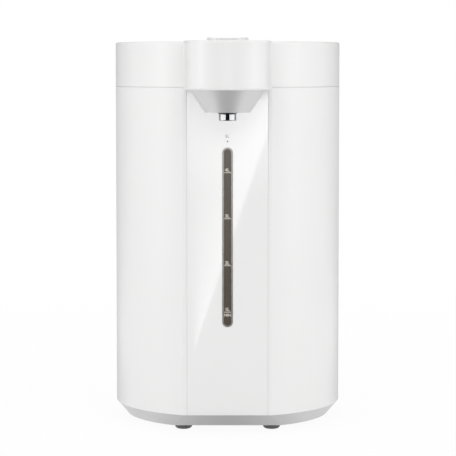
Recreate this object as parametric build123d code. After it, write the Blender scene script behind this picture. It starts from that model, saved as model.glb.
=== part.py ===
from build123d import *
import math
import os

os.makedirs("parts", exist_ok=True)

# A five-litre electric thermo pot. Sizes are millimetres. Heights are above the
# surface the pot stands on. Plan positions are taken from the upright axis of the
# round body, with the spout towards -Y and the power inlet towards +Y.

# ---- clearances
FIT = 0.2            # between fixed pieces that drop into one another
PUSH = 0.05          # between a hose and its stub, or a screw and its hole
RUN = 0.3            # between faces that pass one another
SHAFT = 0.08         # round a pin or shaft that turns
SNUG = 0.08          # round a piece that is bonded in

# ---- body, collar and nose
BODY_R = 104.5       # round sides
FLAT_CUT = 7.35      # how deep the flat front cuts into the round
PANEL_PLANE = BODY_R - FLAT_CUT
CORNER_R = 7.0       # rounding where the flat meets the round sides
WALL = 2.0
BODY_LOW = 16.5
TOP_Z = 351.0
COLLAR_H = 40.7
SEAM_Z = TOP_Z - COLLAR_H
SEAM_GAP = 0.2
COLLAR_WALL = 2.5
DECK_T = 3.4
TOP_ROUND = 1.6
NOSE_REACH = 27.65   # flat front to the upright axis of the nose and spout
NOSE_AXIS = PANEL_PLANE + NOSE_REACH
NOSE_DROP = 2.0      # nose below the collar
NOSE_LOW = SEAM_Z - NOSE_DROP
NOSE_ROUND = 2.8
FLAT_HALF = math.sqrt(BODY_R**2 - PANEL_PLANE**2)
NOSE_FRONT = NOSE_AXIS + FLAT_HALF

# ---- front panel and level gauge
PANEL_T = 2.2
PANEL_INSET = 2.2
PANEL_HALF = FLAT_HALF - PANEL_INSET
PANEL_EDGE = 0.4
REBATE_T = 1.8       # flange of the body behind the panel
REBATE_W = 7.5
GAUGE_LOW = 96.2
GAUGE_HIGH = 256.7
GAUGE_W = 9.3
GAUGE_RIM = 1.4
GAUGE_PROUD = 0.2
LENS_T = 1.6
TUBE_R = 3.0
TUBE_BORE = 2.1
TUBE_SINK = 6.35     # tube axis behind the flat front
TUBE_Y = PANEL_PLANE - TUBE_SINK
HOSE_T = 0.85

# ---- vessel
POT_Y = 2.0          # vessel and lid axis, behind the body axis
JACKET = 17.5        # room between the vessel's bore and the outer wall
LINER_R = BODY_R - JACKET
LINER_T = 0.8
LINER_FLOOR = 67.7
LINER_CORNER = 10.0
RIM_DROP = 39.0
RIM_Z = TOP_Z - RIM_DROP
NECK_H = 13.0
NECK_Z = RIM_Z - NECK_H
SHOULDER_H = 13.0
SHOULDER_Z = NECK_Z - SHOULDER_H
SHOULDER_IN = 11.0
MOUTH_R = LINER_R - SHOULDER_IN
BEAD_W = 4.0
BEAD_H = 4.0
BEAD_ROUND = 1.8
SEAL_T = 1.5
LEDGE_T = 2.5
SLEEVE_T = 5.0
SLEEVE_HIGH = SHOULDER_Z - 2
SLEEVE_SLOT = 8.0    # half width of the slot that the level tube runs in

# ---- lid
LID_RING = 20.5      # collar left round the lid
LID_R = BODY_R - LID_RING
WELL_R = LID_R + 0.5
WELL_WALL = 1.8
LID_H = 35.0
LID_LOW = TOP_Z - LID_H
LID_STRAIGHT = 8.0   # upright band below the lid's top
LID_DRAFT = 3.7      # how much smaller the lid is at its lower edge
LID_WALL = 2.2
LID_TOP_T = 2.4
LID_EDGE = 0.8
LID_SCREW_CIRCLE = LID_R - 16
PAN_R = MOUTH_R - 1.5
PAN_T = 0.8
PAN_FLAT_R = PAN_R - 5
PAN_LOW = RIM_Z + 0.9
GASKET_LOW = RIM_Z + RUN
GASKET_IN = PAN_R + 0.3
GASKET_OUT = MOUTH_R + 4
BASE_PLATE_T = 2.2

# ---- lid hinge
HINGE_Y = LID_R - 1.0
HINGE_DROP = 3.6     # axis below the top
KNUCKLE_R = 3.4
PIN_R = 1.5
HINGE_HALF = 32.0
LID_KNUCKLE = (8.3, 19.7)
LEAF_HALF = 2.6

# ---- lid latch
LATCH_HALF = 16.0
LATCH_FRONT = LID_R - 8
LATCH_LEN = 16.0
LATCH_TRAVEL = 5.0
LATCH_T = 2.5
TONGUE_HALF = 7.0
TONGUE_T = 3.0

# ---- steam vent in the lid
VENT_Y = 30.0
CAP_R = 14.0
DUCT_R = 6.8
DUCT_T = 1.2
STEAM_BALL_R = 4.2
BALL_LIFT = 3.0
BALL_GAP = 0.1

# ---- carrying handle
HANDLE_EDGE = 3.5    # handle to the collar's outer face
HANDLE_OUT = BODY_R - HANDLE_EDGE
HANDLE_W = 8.5
HANDLE_IN = HANDLE_OUT - HANDLE_W
HANDLE_T = 9.0
HANDLE_SINK = 0.5    # top of the folded handle below the collar's top
HANDLE_GAP = 0.5
HANDLE_WALL = 2.2    # round the hollow under the grip
TROUGH_T = 2.0
HANDLE_PIN_R = 2.0

# ---- spout
HOOD_INSET = 5.2     # cone's top edge inside the nose
HOOD_R_TOP = FLAT_HALF - HOOD_INSET
HOOD_R_LOW = 19.8
HOOD_H = 19.6
HOOD_LOW = NOSE_LOW - HOOD_H
HOOD_T = 2.2
NOZZLE_R = 8.85
NOZZLE_R_LOW = 7.7
NOZZLE_DROP = 7.3
NOZZLE_LOW = HOOD_LOW - NOZZLE_DROP
NOZZLE_NECK_R = 6.9
NOZZLE_BORE = 3.6
VALVE_R = 9.0
VALVE_SINK = 10.3    # valve above the hood's lower edge
VALVE_LOW = HOOD_LOW + VALVE_SINK
VALVE_NECK_R = 5.0
TIP_BALL_R = 4.0
PIPE_BEND = 7.0
PIPE_DROP = 22.0     # level run of the spout pipe below the top
PIPE_Z = TOP_Z - PIPE_DROP

# ---- controls on the nose
KNOB_R = 18.1
KNOB_PROUD = 2.8
KNOB_HIGH = TOP_Z + KNOB_PROUD
KNOB_BORE = 12.1
KNOB_SLEEVE_T = 1.5
KNOB_EDGE = 0.7
BUTTON_TRAVEL = 1.5
BUTTON_STEM_R = 3.5
OVERLAY_T = 1.6
OVERLAY_INSET = 2.5
BOARD_T = 1.6
CONTROL_BOARD_Z = TOP_Z - 17.6
ENCODER_R = 15.0
ENCODER_T = 5.6

# ---- base
BASE_LOW = 4.5
BASE_TAPER = 10.2    # how far the round side draws in
BASE_R_LOW = BODY_R - BASE_TAPER
BASE_FLAT_TAPER = 16.05
BASE_FLAT_LOW = PANEL_PLANE - BASE_FLAT_TAPER
BASE_CORNER_LOW = 9.0
BASE_WALL = 2.5
FLOOR_T = 2.5
FOOT_X = 40.0
FOOT_Y = BASE_FLAT_LOW - 10.7
FOOT_R = 7.9
FOOT_ROUND = 3.2     # dished lower edge
FOOT_NECK = 0.7      # groove between the dish and the floor
FOOT_STEM_R = 3.0
HATCH_R = 27.0
HATCH_SCREW_R = 23.0
BOSS_R = 4.5
BOSS_CIRCLE = BODY_R - 16.5
SCREW_R = 1.5
SCREW_HEAD_R = 3.0
SCREW_HEAD_T = 1.8
SHELL_SCREW_LEN = 24.0
COLLAR_SCREW_LEN = 26.0
HATCH_SCREW_LEN = 7.0
BOARD_SCREW_LEN = 8.0
CONTROL_SCREW_LEN = 10.0
LID_SCREW_LEN = 11.0
BOSS_H = 31.5        # bosses of the shell, above the base's floor line

# ---- pump and motor
PUMP_Y = PANEL_PLANE - 47.15
PUMP_R = 17.5
PUMP_WALL = 2.5
PUMP_OFFSET = 11.0   # tangential outlet from the pump axis
MOTOR_R = 14.5
MOTOR_H = 18.4
CUP_H = 11.0
ROTOR_R = 8.0
SHAFT_R = 1.5
MAGNET_R = 11.5
MAGNET_T = 2.5
CHAMBER_H = 9.0
COVER_T = 1.6
STUB_R = 5.6
STUB_BORE = 4.0
IMPELLER_R = 13.6
BLADES = 6

# ---- heater
HEATER_Y = 14.0
HEATER_R = 46.0
HEATER_T = 4.0
COIL_R = 32.0
COIL_TUBE = 3.2
BAND_Z = 80.0
BAND_H = 14.0
BAND_T = 1.5
CUTOUT_R = 7.5

# ---- power board and inlet
BOARD_X = 50.0
BOARD_Y = (12.0, 62.0)
BOARD_Z = 14.0
TRANSFORMER = (26.0, 28.0, 22.0)
RELAY = (16.0, 20.0, 15.0)
CAPACITOR_R = 6.5
CAPACITOR_H = 21.0
TERMINAL = (6.0, 6.0, 8.0)
SINK_W = 11.0
SINK_H = 20.0
FIN_STEP = 2.5
INLET_HALF = 19.0
INLET_H = 26.0
INLET_Z = 41.0
INLET_WALL = 3.5
INLET_DEPTH = 12.0
INLET_BACK = 15.0
INLET_PIN_R = 2.0
INLET_PIN_X = 9.0


# ================================================================ shared shapes

def up(section, z_low, z_high):
    """A plan section raised from one height to another."""
    return Pos(0, 0, z_low) * extrude(section, z_high - z_low)


def drum(radius, z_low, z_high, x=0.0, y=0.0):
    """Upright cylinder."""
    return Pos(x, y, 0) * up(Circle(radius), z_low, z_high)


def tube(r_out, r_in, z_low, z_high, x=0.0, y=0.0):
    """Upright hollow cylinder."""
    return Pos(x, y, 0) * up(Circle(r_out) - Circle(r_in), z_low, z_high)


def block(x_low, x_high, y_low, y_high, z_low, z_high):
    """Box between two corners."""
    size = (x_high - x_low, y_high - y_low, z_high - z_low)
    middle = ((x_low + x_high) / 2, (y_low + y_high) / 2, (z_low + z_high) / 2)
    return Pos(*middle) * Box(*size)


def cross_rod(radius, x_low, x_high, y, z):
    """Cylinder lying along X."""
    return Plane((x_low, y, z), x_dir=(0, 1, 0), z_dir=(1, 0, 0)) * extrude(Circle(radius), x_high - x_low)


def long_rod(radius, x, y_low, y_high, z):
    """Cylinder lying along Y."""
    return Plane((x, y_low, z), x_dir=(-1, 0, 0), z_dir=(0, 1, 0)) * extrude(Circle(radius), y_high - y_low)


def turned(points, x=0.0, y=0.0):
    """Solid of revolution about an upright axis, from (radius, height) corners."""
    profile = Plane.XZ * make_face(Polyline(*points, close=True))
    return Pos(x, y, 0) * revolve(profile, Axis.Z)


def around(count, radius, start=0.0, x=0.0, y=0.0):
    """Evenly spaced plan positions on a circle."""
    angles = [math.radians(start + 360 * i / count) for i in range(count)]
    return [(x + radius * math.cos(a), y + radius * math.sin(a)) for a in angles]


def d_section(radius, flat, corner):
    """Circle with a flat front, rounded at the two corners of the flat."""
    width = 3 * radius
    section = Circle(radius) & Pos(0, width / 2 - flat) * Rectangle(width, width)
    return fillet(section.vertices().group_by(Axis.Y)[0], corner)


def u_section(half_width, rear):
    """Plan of the nose: straight sides closed by a half round at the front."""
    reach = NOSE_AXIS + half_width - rear
    strip = Pos(0, -rear - reach / 2) * Rectangle(2 * half_width, reach)
    sides = Pos(0, -(NOSE_AXIS + rear) / 2) * Rectangle(2 * half_width, NOSE_AXIS - rear)
    return sides + (Pos(0, -NOSE_AXIS) * Circle(half_width) & strip)


def pipe(path, r_out, r_in):
    """Round tube swept along a path."""
    start = Plane(path @ 0, z_dir=path % 0)
    return sweep(start * Circle(r_out), path) - sweep(start * Circle(r_in), path)


def group(pieces):
    """Separate solids kept together as one piece."""
    return Compound([piece.solid() for piece in pieces])


def screw(x, y, z_head, length, head_up=False):
    """Pan-head screw that enters upwards, or downwards when its head is up."""
    way = -1 if head_up else 1
    head = extrude(Circle(SCREW_HEAD_R), way * SCREW_HEAD_T)
    slot = Box(0.8, 4.0, 1.6)
    shank = extrude(Circle(SCREW_R), way * length)
    return Pos(x, y, z_head) * (head + shank - slot)


# ================================================================ body

BODY_HIGH = SEAM_Z - SEAM_GAP
REBATE_PLANE = PANEL_PLANE - PANEL_T
BOSS_SPOTS = around(4, BOSS_CIRCLE, 45)
BOSS_LOW = BODY_LOW + 4
BOSS_HIGH = BASE_LOW + BOSS_H
LUG_R = 3.4
LUG_CIRCLE = BODY_R - WALL - LUG_R - 0.4
LUG_SPOTS = around(4, LUG_CIRCLE, 45)
LUG_LOW = SEAM_Z - 16.3
LUG_HIGH = SEAM_Z + 19.7


def body_shell():
    """Tall sleeve, rebated at the front for the panel and open behind it."""
    outside = d_section(BODY_R, PANEL_PLANE, CORNER_R)
    inside = d_section(BODY_R - WALL, PANEL_PLANE - WALL, CORNER_R - WALL)
    solid = up(outside, BODY_LOW, BODY_HIGH)
    shell = up(outside - inside, BODY_LOW, BODY_HIGH)
    flange_half = PANEL_HALF + REBATE_W
    flange = block(-flange_half, flange_half, -PANEL_PLANE, -REBATE_PLANE + REBATE_T, BODY_LOW, BODY_HIGH)
    shell += flange & solid
    for x, y in BOSS_SPOTS:
        web = math.degrees(math.atan2(y, x))
        rib = Rot(0, 0, web) * block(BOSS_CIRCLE + 2, BODY_R - WALL / 2, -1.2, 1.2, BOSS_LOW, BOSS_HIGH)
        shell += drum(BOSS_R, BOSS_LOW, BOSS_HIGH, x, y) + rib
    for x, y in LUG_SPOTS:
        web = math.degrees(math.atan2(y, x))
        rib = Rot(0, 0, web) * block(LUG_CIRCLE, BODY_R - WALL / 2, -LUG_R, LUG_R, LUG_LOW, BODY_HIGH - 3)
        shell += drum(LUG_R, LUG_LOW, BODY_HIGH - 3, x, y) + rib
    half = PANEL_HALF + SNUG
    shell -= block(-half, half, -BODY_R, -REBATE_PLANE, BODY_LOW - 1, BODY_HIGH + 1)
    window = PANEL_HALF - REBATE_W
    shell -= block(-window, window, -BODY_R, -REBATE_PLANE + 9, BODY_LOW + 10, BODY_HIGH - 9)
    notch = TUBE_R + HOSE_T + 1.2
    shell -= block(-notch, notch, -BODY_R, -REBATE_PLANE + 9, BODY_HIGH - 10, BODY_HIGH + 1)
    inlet = INLET_HALF + FIT
    low = INLET_Z - INLET_H / 2 - FIT
    shell -= block(-inlet, inlet, BODY_R - 12, BODY_R + 1, low, low + INLET_H + 2 * FIT)
    for x, y in BOSS_SPOTS:
        shell -= drum(SCREW_R + PUSH, BODY_LOW, BOSS_HIGH - 3, x, y)
    for x, y in LUG_SPOTS:
        shell -= drum(SCREW_R + PUSH, LUG_LOW - 1, BODY_HIGH, x, y)
    return shell


def gauge_slot(width_cut=0.0):
    """Upright slot of the level gauge, smaller all round by a cut."""
    height = GAUGE_HIGH - GAUGE_LOW - 2 * width_cut
    slot = SlotOverall(height, GAUGE_W - 2 * width_cut, rotation=90)
    return Pos(0, (GAUGE_LOW + GAUGE_HIGH) / 2) * slot


def facing(section, depth, thickness):
    """A section drawn on the front face, between two depths from the body axis."""
    return Plane((0, -depth, 0), x_dir=(1, 0, 0), z_dir=(0, -1, 0)) * extrude(section, -thickness)


def front_panel():
    """Glossy plate let into the front, with the gauge slot through it."""
    plate = block(-PANEL_HALF, PANEL_HALF, -PANEL_PLANE, -REBATE_PLANE, BODY_LOW, NOSE_LOW - FIT)
    front = plate.edges().filter_by(Axis.Z).group_by(Axis.Y)[0]
    plate = fillet(front, PANEL_EDGE)
    return plate - facing(gauge_slot(-FIT / 2), PANEL_PLANE + 1, PANEL_T + 2)


def gauge_bezel():
    """Bright rim round the gauge, a little proud of the panel."""
    rim = gauge_slot() - gauge_slot(GAUGE_RIM)
    return facing(rim, PANEL_PLANE + GAUGE_PROUD, PANEL_T + GAUGE_PROUD)


def gauge_lens():
    """Tinted strip inside the rim."""
    return facing(gauge_slot(GAUGE_RIM + FIT / 2), PANEL_PLANE - 0.3, LENS_T)


# ================================================================ collar

HINGE_Z = TOP_Z - HINGE_DROP
LEDGE_HIGH = RIM_Z - BEAD_H - SEAL_T
LEDGE_IN = MOUTH_R + BEAD_W + 0.6
HANDLE_HIGH = TOP_Z - HANDLE_SINK
PIVOT_Z = HANDLE_HIGH - HANDLE_T / 2
TROUGH_LOW = HANDLE_HIGH - HANDLE_T - HANDLE_GAP
GROOVE_IN = HANDLE_IN - HANDLE_GAP
GROOVE_OUT = HANDLE_OUT + HANDLE_GAP
LID_BACK = HINGE_Y - 4.0
LID_FLAT_HALF = math.sqrt(LID_R**2 - (LID_BACK - POT_Y) ** 2)
POST_R = 3.2
POST_SPOTS = [(s * 24.0, -NOSE_AXIS + t * 17.0) for s in (-1, 1) for t in (-1, 1)]
KNOB_HOLE = KNOB_BORE + KNOB_SLEEVE_T + RUN
RECESS_LOW = TOP_Z - OVERLAY_T
TONGUE_Z = TOP_Z - 5.0
WELL_FRONT = WELL_R - POT_Y


def rear_half(section, reach):
    """The part of a plan section that lies behind a line across the pot."""
    return section & Pos(0, BODY_R + reach) * Rectangle(3 * BODY_R, 2 * BODY_R)


def collar():
    """Top ring of the housing with the nose, the lid well and the handle trough."""
    ring = up(d_section(BODY_R, PANEL_PLANE, CORNER_R), SEAM_Z, TOP_Z)
    nose = up(u_section(FLAT_HALF, PANEL_PLANE + FIT), NOSE_LOW, TOP_Z)
    under = nose.edges().group_by(Axis.Z)[0].filter_by(lambda e: (e @ 0.5).Y < -PANEL_PLANE - 1)
    nose = fillet(under, NOSE_ROUND)
    root = up(u_section(FLAT_HALF, PANEL_PLANE - 8), SEAM_Z, TOP_Z)
    shape = ring + nose + root
    shape = fillet(shape.edges().group_by(Axis.Z)[-1], TOP_ROUND)

    deck_low = TOP_Z - DECK_T
    room = d_section(BODY_R - COLLAR_WALL, PANEL_PLANE - COLLAR_WALL, CORNER_R - COLLAR_WALL)
    nose_room = u_section(FLAT_HALF - COLLAR_WALL, PANEL_PLANE - 12)
    hood_room = drum(HOOD_R_TOP - HOOD_T - 0.4, NOSE_LOW - 1, NOSE_LOW + 5, 0, -NOSE_AXIS)
    hood_room = hood_room & block(-BODY_R, BODY_R, -NOSE_FRONT, -PANEL_PLANE - 3, 0, TOP_Z)
    shape -= [up(room, SEAM_Z - 1, deck_low), up(nose_room, NOSE_LOW + COLLAR_WALL, deck_low)]
    shape -= hood_room

    trough = rear_half(Circle(BODY_R - 1.5) - Circle(GROOVE_IN - TROUGH_T), -HANDLE_T / 2 - 3)
    posts = [drum(POST_R, CONTROL_BOARD_Z + BOARD_T, deck_low + 0.5, x, y) for x, y in POST_SPOTS]
    keep = drum(BODY_R - WALL - FIT, 0, TOP_Z)
    lugs = [drum(LUG_R, BODY_HIGH - 3 + FIT, LUG_HIGH, x, y) & keep for x, y in LUG_SPOTS]
    shape = shape + posts
    shape = shape + lugs
    shape = shape + [
        drum(WELL_R + WELL_WALL, LEDGE_HIGH - LEDGE_T, TOP_Z - 1, 0, POT_Y),
        up(trough, TROUGH_LOW - TROUGH_T, TOP_Z - 1)]

    shape = shape - [
        drum(WELL_R, LEDGE_HIGH, TOP_Z + 1, 0, POT_Y),
        drum(LEDGE_IN, LEDGE_HIGH - LEDGE_T - 1, TOP_Z, 0, POT_Y)]
    shape += block(-HINGE_HALF, HINGE_HALF, HINGE_Y - 3.6, GROOVE_IN - 1, HINGE_Z - 11, TOP_Z)
    shape -= lid_swing()
    for low, high in collar_knuckles():
        shape += cross_rod(KNUCKLE_R, low, high, HINGE_Y, HINGE_Z)
    for room in hinge_room():
        shape -= room
    shape -= cross_rod(PIN_R + PUSH, -HINGE_HALF + 1, HINGE_HALF - 1, HINGE_Y, HINGE_Z)

    groove = rear_half(Circle(GROOVE_OUT) - Circle(GROOVE_IN), -HANDLE_T / 2 - 0.7)
    shape -= up(groove, TROUGH_LOW, TOP_Z + 1)
    scoop = block(-26, 26, BODY_R - 6, BODY_R + 2, TROUGH_LOW + 1, TOP_Z + 5)
    shape -= fillet(scoop.edges().filter_by(Axis.Y).group_by(Axis.Z)[0], 5)
    reach = BODY_R - 1
    for low, high in ((-reach, -GROOVE_IN + TROUGH_T), (GROOVE_IN - TROUGH_T, reach)):
        shape -= cross_rod(HANDLE_PIN_R + PUSH, low, high, 0, PIVOT_Z)
    for x, y in POST_SPOTS:
        shape -= drum(SCREW_R + PUSH, CONTROL_BOARD_Z, CONTROL_BOARD_Z + 10, x, y)
    for x, y in LUG_SPOTS:
        shape -= drum(SCREW_R + PUSH, BODY_HIGH - 4, LUG_HIGH - 8, x, y)

    shape -= up(u_section(FLAT_HALF - OVERLAY_INSET + FIT, PANEL_PLANE + 2), RECESS_LOW, TOP_Z + 1)
    shape -= drum(KNOB_HOLE, deck_low - 1, TOP_Z + 1, 0, -NOSE_AXIS)
    half = TONGUE_HALF + 1
    catch = 2.2
    front = -WELL_FRONT - WELL_WALL - 0.5
    shape -= block(-half, half, front, -WELL_FRONT + 2, TONGUE_Z - catch, TONGUE_Z + catch)
    return shape


def collar_knuckles():
    """The three stretches of the hinge that belong to the collar."""
    inner = LID_KNUCKLE[0] - RUN
    outer = LID_KNUCKLE[1] + RUN
    return [(-HINGE_HALF, -outer), (-inner, inner), (outer, HINGE_HALF)]


def lid_swing():
    """Room above the hinge axis that the lid's rear edge passes as the lid opens."""
    half = [(0.0, LID_BACK)]
    for x in (LID_FLAT_HALF, LID_FLAT_HALF + 2, LID_FLAT_HALF + 5, LID_FLAT_HALF + 9, LID_FLAT_HALF + 15):
        half.append((x, min(LID_BACK, POT_Y + math.sqrt(LID_R**2 - x**2))))
    line = []
    for x, edge in half:
        reach = HINGE_Y - edge - RUN
        line.append((x, HINGE_Y - math.sqrt(max(reach**2 - HINGE_DROP**2, 0.0))))
    front = LID_BACK - 20
    plan = [(-x, y) for x, y in reversed(line[1:])] + line
    plan += [(line[-1][0], front), (-line[-1][0], front)]
    return up(make_face(Polyline(*plan, close=True)), HINGE_Z, TOP_Z + 1)


def hinge_room():
    """Space round the lid's knuckles and the leaves that join them to the lid."""
    rooms = []
    clear = KNUCKLE_R + 0.5
    for side in (-1, 1):
        low, high = sorted((side * (LID_KNUCKLE[0] - RUN), side * (LID_KNUCKLE[1] + RUN)))
        rooms.append(cross_rod(clear, low, high, HINGE_Y, HINGE_Z))
        rooms.append(block(low, high, HINGE_Y - 5, HINGE_Y, HINGE_Z - LEAF_HALF - 0.5, TOP_Z + 1))
        rooms.append(block(low, high, HINGE_Y - 5, HINGE_Y + clear, HINGE_Z, TOP_Z + 1))
    return rooms


def control_overlay():
    """Smooth plate on top of the nose, round the knob."""
    plate = up(u_section(FLAT_HALF - OVERLAY_INSET, PANEL_PLANE + 2 + FIT), RECESS_LOW, TOP_Z)
    return plate - drum(KNOB_HOLE, RECESS_LOW - 1, TOP_Z + 1, 0, -NOSE_AXIS)


def hinge_pin():
    """Steel rod through the lid and collar knuckles."""
    return cross_rod(PIN_R, -HINGE_HALF + 1.2, HINGE_HALF - 1.2, HINGE_Y, HINGE_Z)


def handle_pins():
    """Two short pins that carry the handle."""
    inner = GROOVE_IN - TROUGH_T + 0.2
    outer = BODY_R - 1.2
    left = cross_rod(HANDLE_PIN_R, -outer, -inner, 0, PIVOT_Z)
    return left + cross_rod(HANDLE_PIN_R, inner, outer, 0, PIVOT_Z)


def carry_handle():
    """Half-round bar that folds flat into the trough behind the lid."""
    bar = rear_half(Circle(HANDLE_OUT) - Circle(HANDLE_IN), 0)
    low = HANDLE_HIGH - HANDLE_T
    shape = up(bar, low, HANDLE_HIGH)
    for low_x, high_x in ((-HANDLE_OUT, -HANDLE_IN), (HANDLE_IN, HANDLE_OUT)):
        shape += cross_rod(HANDLE_T / 2, low_x, high_x, 0, PIVOT_Z)
    grip = rear_half(Circle(HANDLE_OUT - HANDLE_WALL) - Circle(HANDLE_IN + HANDLE_WALL), HANDLE_IN / 2)
    shape -= up(grip, low - 1, low + 3)
    for low_x, high_x in ((-HANDLE_OUT - 1, -HANDLE_IN + 1), (HANDLE_IN - 1, HANDLE_OUT + 1)):
        shape -= cross_rod(HANDLE_PIN_R + SHAFT, low_x, high_x, 0, PIVOT_Z)
    return shape


# ================================================================ spout

SEAT_Z = VALVE_LOW + 3.5
CAGE_R = TIP_BALL_R + 1.2
DRAIN_R = 2.2        # hole under the ball


def rest_height(ball_r):
    """Height of a ball's centre above the hole that it rests in."""
    return math.sqrt((ball_r + BALL_GAP) ** 2 - DRAIN_R**2)


TIP_BALL_Z = SEAT_Z + rest_height(TIP_BALL_R)
CAGE_HIGH = TIP_BALL_Z + TIP_BALL_R + BALL_LIFT + RUN
VALVE_HIGH = CAGE_HIGH + 8.0


def spout_hood():
    """Tapered cover under the nose, flat where it meets the panel."""
    def cone(cut, z_low, back):
        slope = (HOOD_R_TOP - HOOD_R_LOW) / (NOSE_LOW - HOOD_LOW)
        low_r = HOOD_R_LOW - cut + slope * (z_low - HOOD_LOW)
        points = [(0, z_low), (low_r, z_low), (HOOD_R_TOP - cut, NOSE_LOW), (0, NOSE_LOW)]
        return turned(points, 0, -NOSE_AXIS) & block(-BODY_R, BODY_R, -NOSE_FRONT, -back, 0, TOP_Z)
    back = PANEL_PLANE + FIT
    shape = cone(0, HOOD_LOW, back) - cone(HOOD_T, HOOD_LOW + HOOD_T, back + HOOD_T)
    return shape - drum(NOZZLE_NECK_R + PUSH, HOOD_LOW - 1, HOOD_LOW + 5, 0, -NOSE_AXIS)


def nozzle():
    """Bright outlet: a waisted flange below the hood and a neck through it."""
    waist = Line((NOZZLE_R, HOOD_LOW), (NOZZLE_R, HOOD_LOW - 0.8))
    flare = ThreePointArc(
        (NOZZLE_R, HOOD_LOW - 0.8), (NOZZLE_R_LOW + 0.2, HOOD_LOW - 3.4), (NOZZLE_R_LOW, NOZZLE_LOW + 0.8))
    inside = Polyline(
        (NOZZLE_R_LOW, NOZZLE_LOW + 0.8), (NOZZLE_R_LOW - 0.8, NOZZLE_LOW),
        (0, NOZZLE_LOW), (0, HOOD_LOW + 8),
        (NOZZLE_NECK_R, HOOD_LOW + 8), (NOZZLE_NECK_R, HOOD_LOW), (NOZZLE_R, HOOD_LOW))
    shape = Pos(0, -NOSE_AXIS, 0) * revolve(Plane.XZ * make_face([waist, flare] + inside.edges()), Axis.Z)
    shape -= drum(NOZZLE_BORE, NOZZLE_LOW - 1, HOOD_LOW + 9, 0, -NOSE_AXIS)
    return shape - drum(VALVE_NECK_R + PUSH, HOOD_LOW + 1.4, HOOD_LOW + 9, 0, -NOSE_AXIS)


def tip_valve_body():
    """Cage that shuts the outlet with a ball when the pot falls over."""
    y = -NOSE_AXIS
    shape = drum(VALVE_R, VALVE_LOW, VALVE_HIGH, 0, y) + drum(VALVE_NECK_R, HOOD_LOW + 1.6, VALVE_LOW, 0, y)
    shape -= drum(NOZZLE_BORE - 0.4, HOOD_LOW, SEAT_Z - 2, 0, y) + drum(DRAIN_R, HOOD_LOW, SEAT_Z + 1, 0, y)
    shape -= drum(CAGE_R, SEAT_Z, CAGE_HIGH, 0, y)
    for turn in (0, 60, 120):
        shape -= Pos(0, y, 0) * Rot(0, 0, turn) * block(-CAGE_R, CAGE_R, -0.9, 0.9, SEAT_Z - 2, SEAT_Z + 1)
    shape -= drum(TUBE_BORE, CAGE_HIGH - 1, VALVE_HIGH + 1, 0, y)
    return shape - drum(TUBE_R + PUSH, CAGE_HIGH + 2, VALVE_HIGH + 1, 0, y)


def tip_ball():
    """Ball that rests in the cage."""
    return Pos(0, -NOSE_AXIS, TIP_BALL_Z) * Sphere(TIP_BALL_R)


def spout_pipe():
    """Steel pipe from the head of the level tube, over the panel, down to the valve."""
    route = FilletPolyline(
        (0, -TUBE_Y, RIM_Z + 0.4), (0, -TUBE_Y, PIPE_Z),
        (0, -NOSE_AXIS, PIPE_Z), (0, -NOSE_AXIS, CAGE_HIGH + 2.3),
        radius=PIPE_BEND)
    return pipe(route, TUBE_R, TUBE_BORE)


# ================================================================ controls

ENCODER_HIGH = CONTROL_BOARD_Z + BOARD_T + ENCODER_T
KNOB_LOW = ENCODER_HIGH + RUN
KNOB_UNDER = TOP_Z + RUN
BUTTON_HIGH = KNOB_HIGH - 0.4
BUTTON_CAP_LOW = BUTTON_HIGH - 2.4
PLUNGER_GAP = 0.3


def knob_ring():
    """Ring that is turned to set the temperature, with a sleeve through the deck."""
    shape = tube(KNOB_R, KNOB_BORE, KNOB_UNDER, KNOB_HIGH, 0, -NOSE_AXIS)
    rim = shape.edges().group_by(Axis.Z)[-1].filter_by(lambda e: abs(e.radius - KNOB_R) < 0.1)
    shape = chamfer(rim, KNOB_EDGE)
    shape += tube(KNOB_BORE + KNOB_SLEEVE_T, KNOB_BORE, KNOB_LOW, KNOB_UNDER + 0.5, 0, -NOSE_AXIS)
    lip = KNOB_BORE + KNOB_SLEEVE_T + 1.4
    shape += tube(lip, KNOB_BORE, KNOB_LOW + 1, KNOB_LOW + 2.4, 0, -NOSE_AXIS)
    for x, y in around(24, KNOB_R + 0.25, 0, 0, -NOSE_AXIS):
        shape -= drum(0.6, KNOB_UNDER - 1, KNOB_HIGH - KNOB_EDGE - 0.3, x, y)
    return shape


def dispense_button():
    """Dished cap in the middle of the knob, on a stem that works the switch."""
    y = -NOSE_AXIS
    shape = drum(KNOB_BORE - RUN, BUTTON_CAP_LOW, BUTTON_HIGH, 0, y)
    dish = 60.0
    sphere = Pos(0, y, BUTTON_HIGH + dish - 0.7) * Sphere(dish)
    shape += drum(BUTTON_STEM_R, ENCODER_HIGH + BUTTON_TRAVEL + PLUNGER_GAP, BUTTON_CAP_LOW, 0, y)
    return shape - sphere


def button_spring():
    """Coil that lifts the button."""
    low = ENCODER_HIGH
    high = BUTTON_CAP_LOW - 0.1
    wire = 0.35
    turns = 4
    helix = Helix((high - low - 2 * wire) / turns, high - low - 2 * wire, BUTTON_STEM_R + 2)
    start = Plane(helix @ 0, z_dir=helix % 0)
    return Pos(0, -NOSE_AXIS, low + wire) * sweep(start * Circle(wire), helix, is_frenet=True)


def encoder():
    """Rotary encoder that reads the knob, with the push switch in its middle."""
    z = CONTROL_BOARD_Z + BOARD_T
    shape = drum(ENCODER_R, z, ENCODER_HIGH - 1, 0, -NOSE_AXIS)
    shape += drum(KNOB_BORE - 1, z, ENCODER_HIGH, 0, -NOSE_AXIS)
    return shape


def control_board():
    """Board under the deck that carries the encoder."""
    outline = u_section(FLAT_HALF - COLLAR_WALL - 4, PANEL_PLANE + 3)
    shape = up(outline, CONTROL_BOARD_Z, CONTROL_BOARD_Z + BOARD_T)
    for x, y in POST_SPOTS:
        shape -= drum(SCREW_R + PUSH, CONTROL_BOARD_Z - 1, CONTROL_BOARD_Z + 3, x, y)
    return shape


# ================================================================ vessel

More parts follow.
